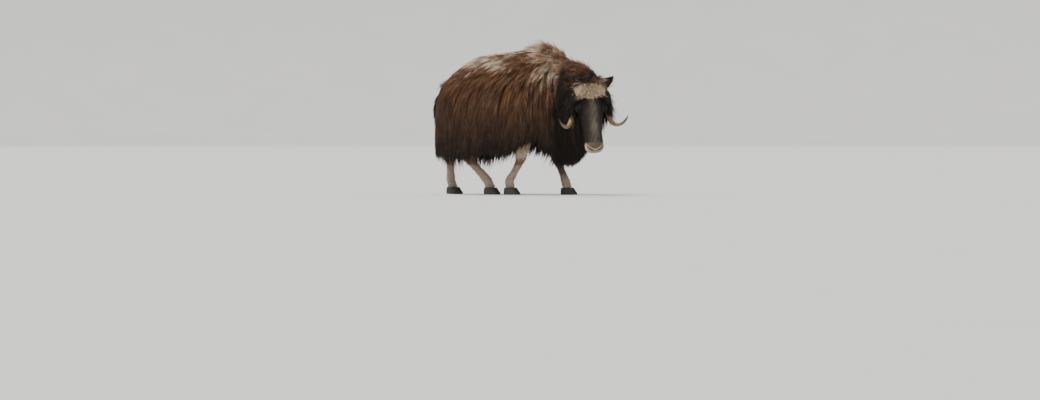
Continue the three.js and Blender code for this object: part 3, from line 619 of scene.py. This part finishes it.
def gathered(random, locks, radius):
    """For each strand: its lock, its place across it at the root and at the tip, and its tone."""
    lock = np.repeat(np.arange(locks), PER_LOCK)
    spot = random.normal(size=(len(lock), 2)) * radius / 2
    tone = np.repeat(random.random((locks, 1)), PER_LOCK, axis=0)
    tone = np.hstack([tone, random.random((len(lock), 1))])
    return lock, spot, spot * LOCK_CLOSING, tone


def taper(steps):
    """How a strand's width runs from root to tip."""
    return np.interp(np.linspace(0, 1, steps), (0, 0.35, 0.75, 1), (0.7, 1, 0.7, 0.12))


def lock_pieces(name, random, lines, spread, outward, lock, tone, bake, material):
    """The strands of locks as pieces, each marked as the coat is a little way off its root."""
    widths = (4.6 + spread * random.random(len(lock)))[:, None] * taper(LOCK_STEPS)
    marks = markings(lines[:, 0] + 16 * random.normal(size=(lock[-1] + 1, 3))[lock])
    strand_pieces(name, lines, widths, outward, tone, bake[lock], material, name, marks)


def curls(random, lines, size):
    """Small sideways waves that grow from root to tip."""
    share = np.linspace(0, 1, lines.shape[1])[:, None]
    phase = random.random((len(lines), 1, 3)) * 6.3
    rate = 4 + 5 * random.random((len(lines), 1, 1))
    return lines + size * share * np.sin(phase + rate * share)


def quick_count(count):
    return count


def torso_coat(material):
    """The coat of the back and flanks, short over the saddle and long at the skirt."""
    random = np.random.default_rng(5)
    locks = quick_count(TORSO_LOCKS)
    turn = random.random(locks * 2) * FULL_TURN
    level = LOWEST_ROOT + (HIGHEST_ROOT - LOWEST_ROOT) * random.random(locks * 2)
    area = np.linalg.norm(coat_point(turn + 0.01, level) - coat_point(turn, level), axis=1)
    keep = random.random(locks * 2) < area / area.max() * 1.15
    turn, level, area = turn[keep][:locks], level[keep][:locks], area[keep][:locks]
    locks = len(turn)
    lock, spot, spot_tip, tone = gathered(random, locks, 17)
    low = SKIRT_BOTTOM(coat_point(turn, np.full(locks, 400.0))[:, 0]) + random.normal(size=locks) * 16
    tip = np.maximum(level - LOCK_LENGTH(level) * (1 + 0.12 * random.normal(size=locks)), low)
    tip = np.where(level < 720, np.minimum(tip, low + 90 * random.random(locks)), tip)
    share = np.linspace(0, 1, LOCK_STEPS)
    lean = np.where(np.sin(turn) > 0, 1, -1) * (0.03 + 0.02 * random.normal(size=locks))
    lean *= 1 + 3 * smooth(900, 1080, level)
    aside, upward = (spot[:, i, None] * (1 - share) + spot_tip[:, i, None] * share for i in (0, 1))
    ragged = 1 + 0.1 * random.normal(size=(len(lock), 1))
    at_turn = turn[lock, None] + lean[lock, None] * share + aside / np.maximum(area / 0.01, 60)[lock, None]
    at_level = level[lock, None] + (tip - level)[lock, None] * share * ragged + upward
    bend = (1.3 + 0.5 * random.random(locks))[lock, None]
    inset = (SKIN_DEPTH(level) + 10)[lock, None] * (1 - share) ** bend + 9 * random.random(len(lock))[:, None]
    at_level = np.minimum(at_level, COAT_TOP - 3)
    lines = coat_point(at_turn, at_level, inset)
    lines[..., 2] -= SKIN_DROP(level)[lock, None] * (1 - share) ** 1.5
    lines = curls(random, lines, 2.6)
    bend_out = coat_point(at_turn[:, 2], at_level[:, 2], -40) - coat_point(at_turn[:, 2], at_level[:, 2], 0)
    outward = unit(bend_out + np.array((0, 0, 1)) * (10 + 50 * smooth(950, 1150, level))[lock, None])
    lock_pieces("coat", random, lines, 2.6, outward[:, None], lock, tone, torso_bake(turn, level), material)


def torso_bake(turn, level):
    """The coat's part of the unwrapped map: once round and from the skirt up."""
    return spaced(0.02 + 0.6 * (turn % FULL_TURN) / FULL_TURN, 0.02 + 0.9 * (level - LOWEST_ROOT) / 780)


def head_bake(points):
    """The head's part of the unwrapped map."""
    x, y, z = from_head(points).T
    return spaced(0.82 + 0.15 * np.arctan2(y, z + 100) / math.pi, 0.76 + 0.2 * np.clip((x + 80) / 660, 0, 1))


def leg_bake(points):
    """The legs' part of the unwrapped map, with a strip for each leg."""
    x, y, z = points.T
    strip = 2 * (y > 0) + (x > 0)
    return spaced(0.66 + 0.075 * strip + 0.05 * (x % 200) / 200, 0.02 + 0.22 * np.clip(z / 480, 0, 1))


def mane_coat(material):
    """The mane along both sides of the neck and the beard that hangs from the throat."""
    random = np.random.default_rng(9)
    locks = quick_count(MANE_LOCKS)
    share_at = 0.3 + 0.68 * random.random(locks)
    side = np.where(random.random(locks) < 0.5, 1, -1)
    start = np.radians(4 + 170 * random.random(locks) ** 0.8)
    sweep = np.radians(np.interp(np.degrees(start), (0, 20, 60, 100, 150, 180), (42, 50, 56, 52, 24, 2)))
    end = np.minimum(start + sweep * (1 + 0.12 * random.normal(size=locks)), math.pi * 0.995)
    lock, spot, spot_tip, tone = gathered(random, locks, 19)
    share = np.linspace(0, 1, LOCK_STEPS)
    at_root, at_tip = (start[lock] + spot[:, 0] / 170)[:, None], (end[lock] + spot_tip[:, 0] / 250)[:, None]
    turn = at_root * (1 - share) + at_tip * share
    lift = 0.02 + 0.12 * random.random(locks)
    full = -0.35 * (1 - share) ** 2 + (1 - lift[lock, None]) * share ** 0.8
    place = share_at[lock, None] + spot[:, 1, None] / 560 * (1 - 0.6 * share) - 0.05 * share
    place, turn = np.clip(place, 0, 1), side[lock, None] * turn
    lines = curls(random, neck_point(place, turn, full), 4)
    outward = neck_point(place, turn, full + 1.0) - neck_point(place, turn, full)
    bake = spaced(0.66 + 0.3 * share_at, 0.5 + 0.22 * side * start / math.pi)
    lock_pieces("mane", random, lines, 2.8, unit(outward + 1e-6), lock, tone, bake, material)


# Fur that grows from the finished skin, with its roots a little inside it.
ROOT_DEPTH = 4


def surface_of(mesh):
    """The mesh's triangles as corners, normals and areas, in the animal's frame."""
    mesh.calc_loop_triangles()
    corners = np.empty(len(mesh.loop_triangles) * 3, np.int32)
    mesh.loop_triangles.foreach_get("vertices", corners)
    places = points_of(mesh)[corners.reshape(-1, 3)]
    normal = np.cross(places[:, 1] - places[:, 0], places[:, 2] - places[:, 0])
    return places, unit(normal), np.linalg.norm(normal, axis=1) / 2


def scattered(random, surface, weight, count):
    """Random places on a surface, as likely as weight says, with their normals."""
    places, normal, area = surface
    chance = np.cumsum(area * weight)
    pick = np.searchsorted(chance, random.random(quick_count(count)) * chance[-1])
    a, b = random.random((2, len(pick), 1))
    a, b = np.where(a + b > 1, 1 - a, a), np.where(a + b > 1, 1 - b, b)
    corner = places[pick]
    return corner[:, 0] + a * (corner[:, 1] - corner[:, 0]) + b * (corner[:, 2] - corner[:, 0]), normal[pick]


def fur(name, random, spots, lie, length, width, bake, looks, steps=3, stand=0.3, droop=0, curl=0, low=0):
    """Tufts that rise from their spots and bend over to lie along a direction. Low flattens the topmost."""
    roots, normal = spots
    share = np.linspace(0, 1, steps)[:, None]
    flat = unit(lie - normal * np.sum(lie * normal, axis=1, keepdims=True))
    flat = unit(flat + 0.14 * random.normal(size=flat.shape))[:, None]
    long = (np.zeros(len(roots)) + length)[:, None, None]
    long = long * (1 + 0.18 * random.normal(size=(len(roots), 1, 1)))
    stands = stand * (1 - low * smooth(COAT_TOP - 110, COAT_TOP - 30, roots[:, 2]))[:, None, None]
    rise = stands * long * share ** 0.7 - ROOT_DEPTH * (1 - share) ** 2
    lines = roots[:, None] + flat * long * share + normal[:, None] * rise
    lines[..., 2] -= (droop * long * share ** 2)[..., 0]
    lines = curls(random, lines, curl)
    lines[..., 2] = np.minimum(lines[..., 2], HAIR_TOP)
    widths = width * (0.75 + 0.5 * random.random((len(roots), 1))) * taper(steps)
    marks = markings(roots + 5 * random.normal(size=roots.shape))
    strand_pieces(name, lines, widths, normal[:, None], random.random((len(roots), 2)), bake, *looks, marks)


def head_fur(surface, material):
    """The face's short fur, the wool on the forehead, the crown, the temples, the jaw and the ears."""
    random = np.random.default_rng(17)
    x, y, z = from_head(surface[0].mean(axis=1)).T
    wide, facing_up = np.abs(y), (surface[1] @ HEAD_TURN)[:, 2]
    off_eye = spaced(x, wide, z) - EYE_AT
    from_eye = np.linalg.norm(off_eye, axis=1)
    on_eye = (from_eye < 34) & (off_eye @ eye_axes(1)[1] > 0.36 * from_eye)
    skull = (x > -60) & (x < 530) & (z > HEAD_LOW(x) - 30) & (wide < 150) & ~on_eye
    ear = (wide > 116) & (x < 60) & (z > -100) & (z < 40)
    face_looks, mane_looks = (material, "face"), (material, "mane")

    def along(roots, ahead, aside, up):
        sign = np.clip(from_head(roots)[:, 1] / 38, -1, 1) + 0.3 * random.normal(size=len(roots))
        return spaced(ahead, aside * sign, up) @ HEAD_TURN.T

    def grown(name, weight, count, way, length, width, looks, **form):
        roots, out = scattered(random, surface, weight, count)
        lie = along(roots, *way)
        fur(name, random, (roots, out), lie, length, width, head_bake(roots), looks, **form)

    face = skull & ~ear & (x > 95)
    face = face * (1 - smooth(480, 505, x)) * (1 + 2 * (from_eye < 60))
    grown("face_fur", face, 11000, (1, 0.2, -0.1), 12, 2.7, face_looks, stand=0.1)
    wool = skull & ~ear & (facing_up > -0.2) & (z > -44) & (x > 0) & (x < 121) & (wide < 100)
    grown("forehead_wool", wool, 2300, (0.6, 0.5, 0), 38, 6.5, face_looks, steps=5, stand=0.75, curl=8)
    crown = skull & ~ear & (x < 12) & (z > -150)
    grown("crown_fur", crown, 1500, (0.15, 0.8, -0.4), 74, 6, mane_looks, steps=5, stand=0.4, curl=5)
    temple = skull & (x > 8) & (x < 130) & (wide > 82) & (z < -48) & (z > -200)
    grown("temple_fur", temple, 1700, (1, 0, -0.3), 150, 5.5, mane_looks, steps=6, stand=0.27, curl=5)
    horn_sleeve(random, material)
    jaw = skull & (x > 40) & (x < 450) & (z < -140)
    roots, out = scattered(random, surface, jaw, 1800)
    length = 112 - 60 * smooth(150, 440, from_head(roots)[:, 0])
    fur("jaw_fur", random, (roots, out), np.array((-0.15, 0.05, -1)), length, 5, head_bake(roots), mane_looks,
        steps=5, droop=0.25, curl=4)
    roots, out = scattered(random, surface, ear, 1500)
    lie = ((EAR_TIP - EAR_ROOT) * spaced(1, np.sign(from_head(roots)[:, 1]), 1)) @ HEAD_TURN.T
    fur("ear_fur", random, (roots, out), lie, 22, 3.6, head_bake(roots), mane_looks)


def horn_rings(side):
    """A horn's middle line with its half width and thickness, and the directions across and out of it."""
    rows = curve_through(HORN * (1, side, 1, 1, 1), HORN_STEPS)
    along = unit(np.gradient(rows[:, :3], axis=0))
    outward = spaced(0, rows[:, 1], rows[:, 2] + 100)
    across = unit(np.cross(along, outward))
    return rows, across, np.cross(across, along)


def horn_sleeve(random, material):
    """Dark hair that falls along the upper horn and hides it down to where it turns up."""
    count, share = quick_count(900), np.linspace(0, 1, 6)
    lines, outs = [], []
    for side in (1, -1):
        rows, across, out = horn_rings(side)
        start = HORN_STEPS * (0.235 + 0.14 * random.random((count, 1)))
        place = start + HORN_STEPS * (0.15 + 0.05 * random.random((count, 1))) * share
        i = place.astype(int)
        angle = (random.random((count, 1)) - 0.5) * math.radians(290)
        gap = 1.05 + 0.55 * np.sin(share * 2.6) * (0.4 + random.random((count, 1)))
        c, s = (np.cos(angle) * gap)[..., None], (np.sin(angle) * gap)[..., None]
        offset = out[i] * rows[i, 4, None] * c + across[i] * rows[i, 3, None] * s
        lines.append(in_head(rows[i, :3] + offset))
        outs.append(unit(offset) @ HEAD_TURN.T)
    lines, outs = np.vstack(lines), np.vstack(outs)
    lines = curls(random, lines, 4)
    widths = (4.2 + 2 * random.random((len(lines), 1))) * taper(len(share))
    marks = np.tile((0.0, 0.25, 0.92, 0.0), (len(lines), 1))
    strand_pieces("horn_sleeve", lines, widths, outs, random.random((len(lines), 2)), head_bake(lines[:, 0]),
                  material, "mane", marks)


def leg_fur(surface, material):
    random = np.random.default_rng(29)
    (x, _, z), facing = surface[0].mean(axis=1).T, surface[1][:, 2]
    furred = (z > 62) & (z < 452) & (x < MUZZLE_BEHIND) & (facing > -0.75)
    roots, out = scattered(random, surface, furred, 7000)
    down, length = np.array((-0.12, 0, -1)), 19 + 18 * smooth(300, 420, roots[:, 2])
    fur("leg_fur", random, (roots, out), down, length, 4.2, leg_bake(roots), (material, "leg"), stand=0.16)


def crest_fur(surface, material):
    """The hair along the back and the neck's crest, lying backwards and to each side."""
    random = np.random.default_rng(31)
    places, facing = surface[0].mean(axis=1), surface[1][:, 2]
    behind_head = from_head(places)[:, 0] < -25
    roots, out = scattered(random, surface, (facing > 0.4) & (places[:, 2] > 880) & behind_head, 6500)
    x, y, z = roots.T
    sign = np.clip(y / 60, -1, 1)
    lie = spaced(-1, 0.45 * sign, -0.1)
    length = np.interp(x, (-500, -250, 180, 260, 500, 620, 850), (60, 66, 66, 95, 115, 80, 70))
    bake = torso_bake(np.arctan2(y, x), np.clip(z, LOWEST_ROOT, 1240))
    fur("crest_fur", random, (roots, out), lie, length, 6, bake, (material, "coat"),
        steps=4, stand=0.26, curl=4, low=0.45)


def tail_tress(material):
    """The tail's long hair, which lies against the rump."""
    random = np.random.default_rng(37)
    count, steps = quick_count(750), 6
    side = random.random(count)[:, None] * 2 - 1
    share = np.linspace(0, 1, steps)
    top = 882 - 62 * (1 - side ** 2) - 40 * random.random((count, 1))
    bottom = 606 + 95 * side ** 2 + 30 * random.normal(size=(count, 1))
    z = top + (bottom - top) * share
    behind = 30 * share ** 0.6 - 40 * (1 - share) ** 3 - 14 * random.random((count, 1))
    x = COAT_REAR(z) - behind
    lines = curls(random, spaced(x, side * 50 * (0.12 + 0.88 * share ** 0.8), z), 5)
    outward = unit(np.zeros_like(lines) + (-1, 0, 0.1))
    widths = (4.5 + 2.5 * random.random((count, 1))) * taper(steps)
    bake = torso_bake(math.pi + 0.1 * side[:, 0], top[:, 0])
    tone = random.random((count, 2))
    strand_pieces("tail_tress", lines, widths, outward, tone, bake, material, "coat", markings(lines[:, 0]))


# Materials.

def material_of(name, roughness, **sockets):
    """A new material, its node tree and its shader."""
    made = bpy.data.materials.new(name)
    made.use_nodes = True
    shader = made.node_tree.nodes["Principled BSDF"]
    shader.inputs["Roughness"].default_value = roughness
    for key, value in sockets.items():
        shader.inputs[key.replace("_", " ")].default_value = value
    return made, made.node_tree, shader


def mix(tree, factor, a, b):
    """A colour between a and b, each a colour or a socket, by the share that a socket gives."""
    made = tree.nodes.new("ShaderNodeMix")
    made.data_type = "RGBA"
    for index, value in ((0, factor), (6, a), (7, b)):
        if isinstance(value, bpy.types.NodeSocket):
            tree.links.new(value, made.inputs[index])
        else:
            made.inputs[index].default_value = (*value, 1)
    return made.outputs[2]


def scaled(tree, socket, low, high, to_low=0.0, to_high=1.0):
    made = tree.nodes.new("ShaderNodeMapRange")
    tree.links.new(socket, made.inputs["Value"])
    for key, value in (("From Min", low), ("From Max", high), ("To Min", to_low), ("To Max", to_high)):
        made.inputs[key].default_value = value
    return made.outputs["Result"]


def noise(tree, scale, detail, stretch=(1, 1, 1)):
    place = tree.nodes.new("ShaderNodeTexCoord")
    move = tree.nodes.new("ShaderNodeMapping")
    move.inputs["Scale"].default_value = stretch
    tree.links.new(place.outputs["Object"], move.inputs["Vector"])
    made = tree.nodes.new("ShaderNodeTexNoise")
    made.inputs["Scale"].default_value = scale
    made.inputs["Detail"].default_value = detail
    tree.links.new(move.outputs["Vector"], made.inputs["Vector"])
    return made.outputs["Fac"]


def add_bump(tree, shader, height, strength, distance):
    made = tree.nodes.new("ShaderNodeBump")
    made.inputs["Strength"].default_value = strength
    made.inputs["Distance"].default_value = distance
    tree.links.new(height, made.inputs["Height"])
    tree.links.new(made.outputs["Normal"], shader.inputs["Normal"])


PALE, TAN = (0.74, 0.61, 0.46), (0.40, 0.27, 0.16)
# The near black serves both for dark hair and for painted shade under the head and on the far foreleg.
RUST, BROWN, BLACK_AND_PAINTED_SHADE = (0.17, 0.075, 0.032), (0.075, 0.042, 0.025), (0.016, 0.011, 0.009)
LEG_PALE = (0.42, 0.32, 0.25)
# How the hair's brightness runs, from lock to lock, from root to tip and from strand to strand.
HAIR_SPREADS = [("Green", 0, 1, 0.6, 1.55), ("Red", 0.1, 1, 0.62, 1.3), ("Blue", 0, 1, 0.75, 1.3)]


def attribute(tree, name):
    """A mesh attribute's node, and the sockets of its red, green and blue."""
    read = tree.nodes.new("ShaderNodeAttribute")
    read.attribute_name = name
    parts = tree.nodes.new("ShaderNodeSeparateColor")
    tree.links.new(read.outputs["Color"], parts.inputs["Color"])
    return read, parts.outputs


def coat_colour(tree):
    """The coat's colour from its markings, as one socket."""
    marks, parts = attribute(tree, "marks")
    patches = noise(tree, 9, 4)
    brown = mix(tree, scaled(tree, patches, 0.35, 0.65), BROWN, (0.045, 0.027, 0.018))
    leg = mix(tree, marks.outputs["Alpha"], brown, LEG_PALE)
    leggy = mix(tree, parts["Green"], leg, RUST)
    # The blue mark darkens towards near black: dark hair, and painted shade under the head and on the far
    # foreleg.
    black = mix(tree, parts["Blue"], leggy, BLACK_AND_PAINTED_SHADE)
    light = mix(tree, scaled(tree, patches, 0.3, 0.7), PALE, TAN)
    return mix(tree, parts["Red"], black, light)


def strand_material():
    """Hair: the marked colour, varied from lock to lock and strand to strand, with lighter tips."""
    made, tree, shader = material_of("hair", 0.62, Specular_IOR_Level=0.3)
    colour, (_, parts) = coat_colour(tree), attribute(tree, "lock")
    for channel, *spread in HAIR_SPREADS:
        vary = tree.nodes.new("ShaderNodeHueSaturation")
        tree.links.new(colour, vary.inputs["Color"])
        tree.links.new(scaled(tree, parts[channel], *spread), vary.inputs["Value"])
        colour = vary.outputs["Color"]
    tree.links.new(colour, shader.inputs["Base Color"])
    return made


def skin_material():
    """Skin under short fur, in the coat's own markings."""
    made, tree, shader = material_of("skin", 0.72, Specular_IOR_Level=0.25)
    tree.links.new(coat_colour(tree), shader.inputs["Base Color"])
    add_bump(tree, shader, noise(tree, 260, 4), 0.5, 0.004)
    return made


# Horns, eyes and hooves.

def stand_in(piece, node_name, material):
    """Puts a piece in the place of a node of the frame."""
    piece.data.materials.append(material)
    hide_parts(node_name)
    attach(piece, "root")


def horn_piece(name, side, material):
    rows, across, out = horn_rings(side)
    turn = around(44)
    share = np.linspace(0, 1, len(rows))
    ridge = 1 + 0.035 * np.sin(share * 120) * (1 - smooth(0.2, 0.5, share))
    wide, thick = ((rows[:, i] * ridge)[:, None, None] for i in (3, 4))
    ring = across[:, None] * wide * squared(np.cos(turn), HORN_SQUARENESS)[None, :, None]
    ring = ring + out[:, None] * thick * squared(np.sin(turn), HORN_SQUARENESS)[None, :, None]
    points, faces = loft(rows[:, None, :3] + ring)
    piece = make_piece(f"{name}_fine", in_head(points), faces)
    last = np.append(np.repeat(share, len(turn)), (0.0, 1.0))
    set_attribute(piece.data, "lock", spaced(last, 0, 0, 1))
    stand_in(piece, name, material)


def horn_material():
    made, tree, shader = material_of("horn", 0.3)
    _, place = attribute(tree, "lock")
    grain = noise(tree, 70, 6, (1, 1, 4))
    base = mix(tree, scaled(tree, grain, 0.38, 0.62), (0.25, 0.14, 0.07), (0.53, 0.37, 0.21))
    tip = scaled(tree, place["Red"], 0.72, 0.93)
    tree.links.new(mix(tree, tip, base, (0.03, 0.022, 0.018)), shader.inputs["Base Color"])
    add_bump(tree, shader, grain, 0.25, 0.002)
    return made


def eye_piece(name, side, material):
    centre = EYE_AT * (1, side, 1)
    points, faces = ball_form((0, 0, 0), (EYE_RADIUS - 0.6,) * 3, 48)
    facing = points[:, 2] / EYE_RADIUS
    ahead, out, up = eye_axes(side)
    axes = np.array([ahead, up, out])
    if np.linalg.det(axes) < 0:
        faces = [face[::-1] for face in faces]
    piece = make_piece(f"{name}_fine", in_head(points @ axes + centre), faces)
    set_attribute(piece.data, "lock", spaced(facing, 0, 0, 1))
    stand_in(piece, name, material)


def eye_material():
    made, tree, shader = material_of("eye", 0.1, Coat_Weight=0.35)
    _, facing = attribute(tree, "lock")
    iris = mix(tree, scaled(tree, facing["Red"], 0.9, 0.94), (0.045, 0.022, 0.01), (0.004, 0.003, 0.003))
    ring = mix(tree, scaled(tree, facing["Red"], 0.66, 0.72), (0.05, 0.034, 0.026), iris)
    tree.links.new(ring, shader.inputs["Base Color"])
    return made


def claw_form(x, y, inner):
    width = (HOOF_WIDTH - CLEFT) / 4
    turn = around(40)
    share_at = profile([(0, 1), (12, 1), (34, 0.86), (HOOF_TOP, 0.7)])
    ahead_at = profile([(0, 16), (12, 14), (34, 6), (HOOF_TOP, 0)])
    rings = []
    for z in np.r_[0, 1.5, np.linspace(5, HOOF_TOP - 1.5, 16), HOOF_TOP]:
        edge = 0.97 if z in (0, HOOF_TOP) else 1
        share = share_at(z) * edge
        narrow = 1 - 0.3 * np.maximum(np.cos(turn), 0) ** 2
        lobe = width * (1 + (share * 0.5 + 0.5 * edge) * narrow * squared(np.sin(turn), 2.6) * inner)
        line = 1 + 0.006 * math.sin(z * 1.1)
        ahead = ahead_at(z) + HOOF_LENGTH / 2 * share * line * np.cos(turn)
        rings.append(spaced(x + ahead, y + inner * (CLEFT / 2 + lobe), z))
    return loft(rings)


def hoof_pieces(material):
    for name, rows in LEGS.items():
        x, y = rows[-1][:2]
        out = 1 if y > 0 else -1
        for part, inner in (("inner", -out), ("outer", out)):
            node_name = f"hoof_{name}_{part}"
            piece = make_piece(f"{node_name}_fine", *claw_form(x, y, inner))
            stand_in(piece, node_name, material)


def hoof_material():
    made, tree, shader = material_of("hoof", 0.55)
    grain = noise(tree, 60, 4, (1, 1, 5))
    tree.links.new(mix(tree, grain, (0.018, 0.014, 0.012), (0.07, 0.055, 0.045)), shader.inputs["Base Color"])
    add_bump(tree, shader, grain, 0.3, 0.002)
    return made


# The floor, lights and camera.
CAMERA_DISTANCE, CAMERA_AZIMUTH, CAMERA_HEIGHT = 60_000, 30, 765
FRAME_WIDTH, AIM_ASIDE, AIM_LEVEL = 8424, 121, -45
FLOOR_RADIUS, WALL_ARC, WALL_TOP = 75_000, 12_000, 20_000

# Each sun's name, the direction that it shines from, its power and its width in degrees.
SUNS = [("key", (-0.25, -0.35, 1.0), 3.0, 14), ("rim", (-0.9, 0.7, 0.9), 1.6, 20)]


def make_stage():
    """A round floor, far wider than the camera's distance, that curves up to a low wall all round."""
    tilt = np.linspace(0, math.pi / 2, 16)
    arc = spaced(FLOOR_RADIUS + WALL_ARC * np.sin(tilt), WALL_ARC * (1 - np.cos(tilt)))
    line = np.vstack([(FLOOR_RADIUS / 2, 0), arc, (FLOOR_RADIUS + WALL_ARC, WALL_TOP)])
    turn = around(96)
    circle = spaced(np.cos(turn), np.sin(turn), 0)
    rings = np.array([circle * reach + (0, 0, height) for reach, height in line])
    faces = [face[::-1] for face in loft_faces(len(rings), len(turn), closed=False)]
    faces.append(tuple(range(len(turn))))
    floor = make_piece("floor", rings.reshape(-1, 3), faces)
    made, tree, shader = material_of("floor", 0.9)
    shade = mix(tree, noise(tree, 1.2, 2), (0.60, 0.60, 0.58), (0.66, 0.65, 0.63))
    tree.links.new(shade, shader.inputs["Base Color"])
    floor.data.materials.append(made)


def make_lights():
    world = bpy.data.worlds.new("soft")
    bpy.context.scene.world = world
    world.use_nodes = True
    sky = world.node_tree.nodes["Background"]
    sky.inputs["Color"].default_value = (0.86, 0.92, 1.0, 1)
    sky.inputs["Strength"].default_value = 0.75
    for name, aim, power, spread in SUNS:
        lamp = bpy.data.lights.new(name, "SUN")
        lamp.energy = power
        lamp.angle = math.radians(spread)
        lamp.color = (1.0, 0.96, 0.9)
        placed(name, lamp).rotation_euler = Vector(aim).to_track_quat("Z", "Y").to_euler()


def make_camera():
    turn = math.radians(CAMERA_AZIMUTH)
    right = Vector((math.cos(turn), math.sin(turn), 0))
    back = Vector((math.sin(turn), -math.cos(turn), 0))
    aim = Vector(SHIFT) + right * AIM_ASIDE * MM + Vector((0, 0, AIM_LEVEL * MM))
    camera = placed("camera", bpy.data.cameras.new("camera"))
    camera.location = aim + back * CAMERA_DISTANCE * MM + Vector((0, 0, (CAMERA_HEIGHT - AIM_LEVEL) * MM))
    camera.rotation_euler = (camera.location - aim).to_track_quat("Z", "Y").to_euler()
    camera.data.lens = camera.data.sensor_width * CAMERA_DISTANCE / FRAME_WIDTH
    camera.data.clip_end = 200
    bpy.context.scene.camera = camera


make_stage()
make_lights()
make_camera()
hair = strand_material()
skin = make_skin()
skin.data.materials.clear()
skin.data.materials.append(skin_material())
set_attribute(skin.data, "marks", markings(points_of(skin.data)))
skin_surface = surface_of(skin.data)
torso_coat(hair)
mane_coat(hair)
crest_fur(skin_surface, hair)
head_fur(skin_surface, hair)
leg_fur(skin_surface, hair)
tail_tress(hair)
horn_look, eye_look = horn_material(), eye_material()
for side_name, side_sign in SIDES.items():
    horn_piece(f"horn_{side_name}", side_sign, horn_look)
    eye_piece(f"eye_{side_name}", side_sign, eye_look)
hoof_pieces(hoof_material())
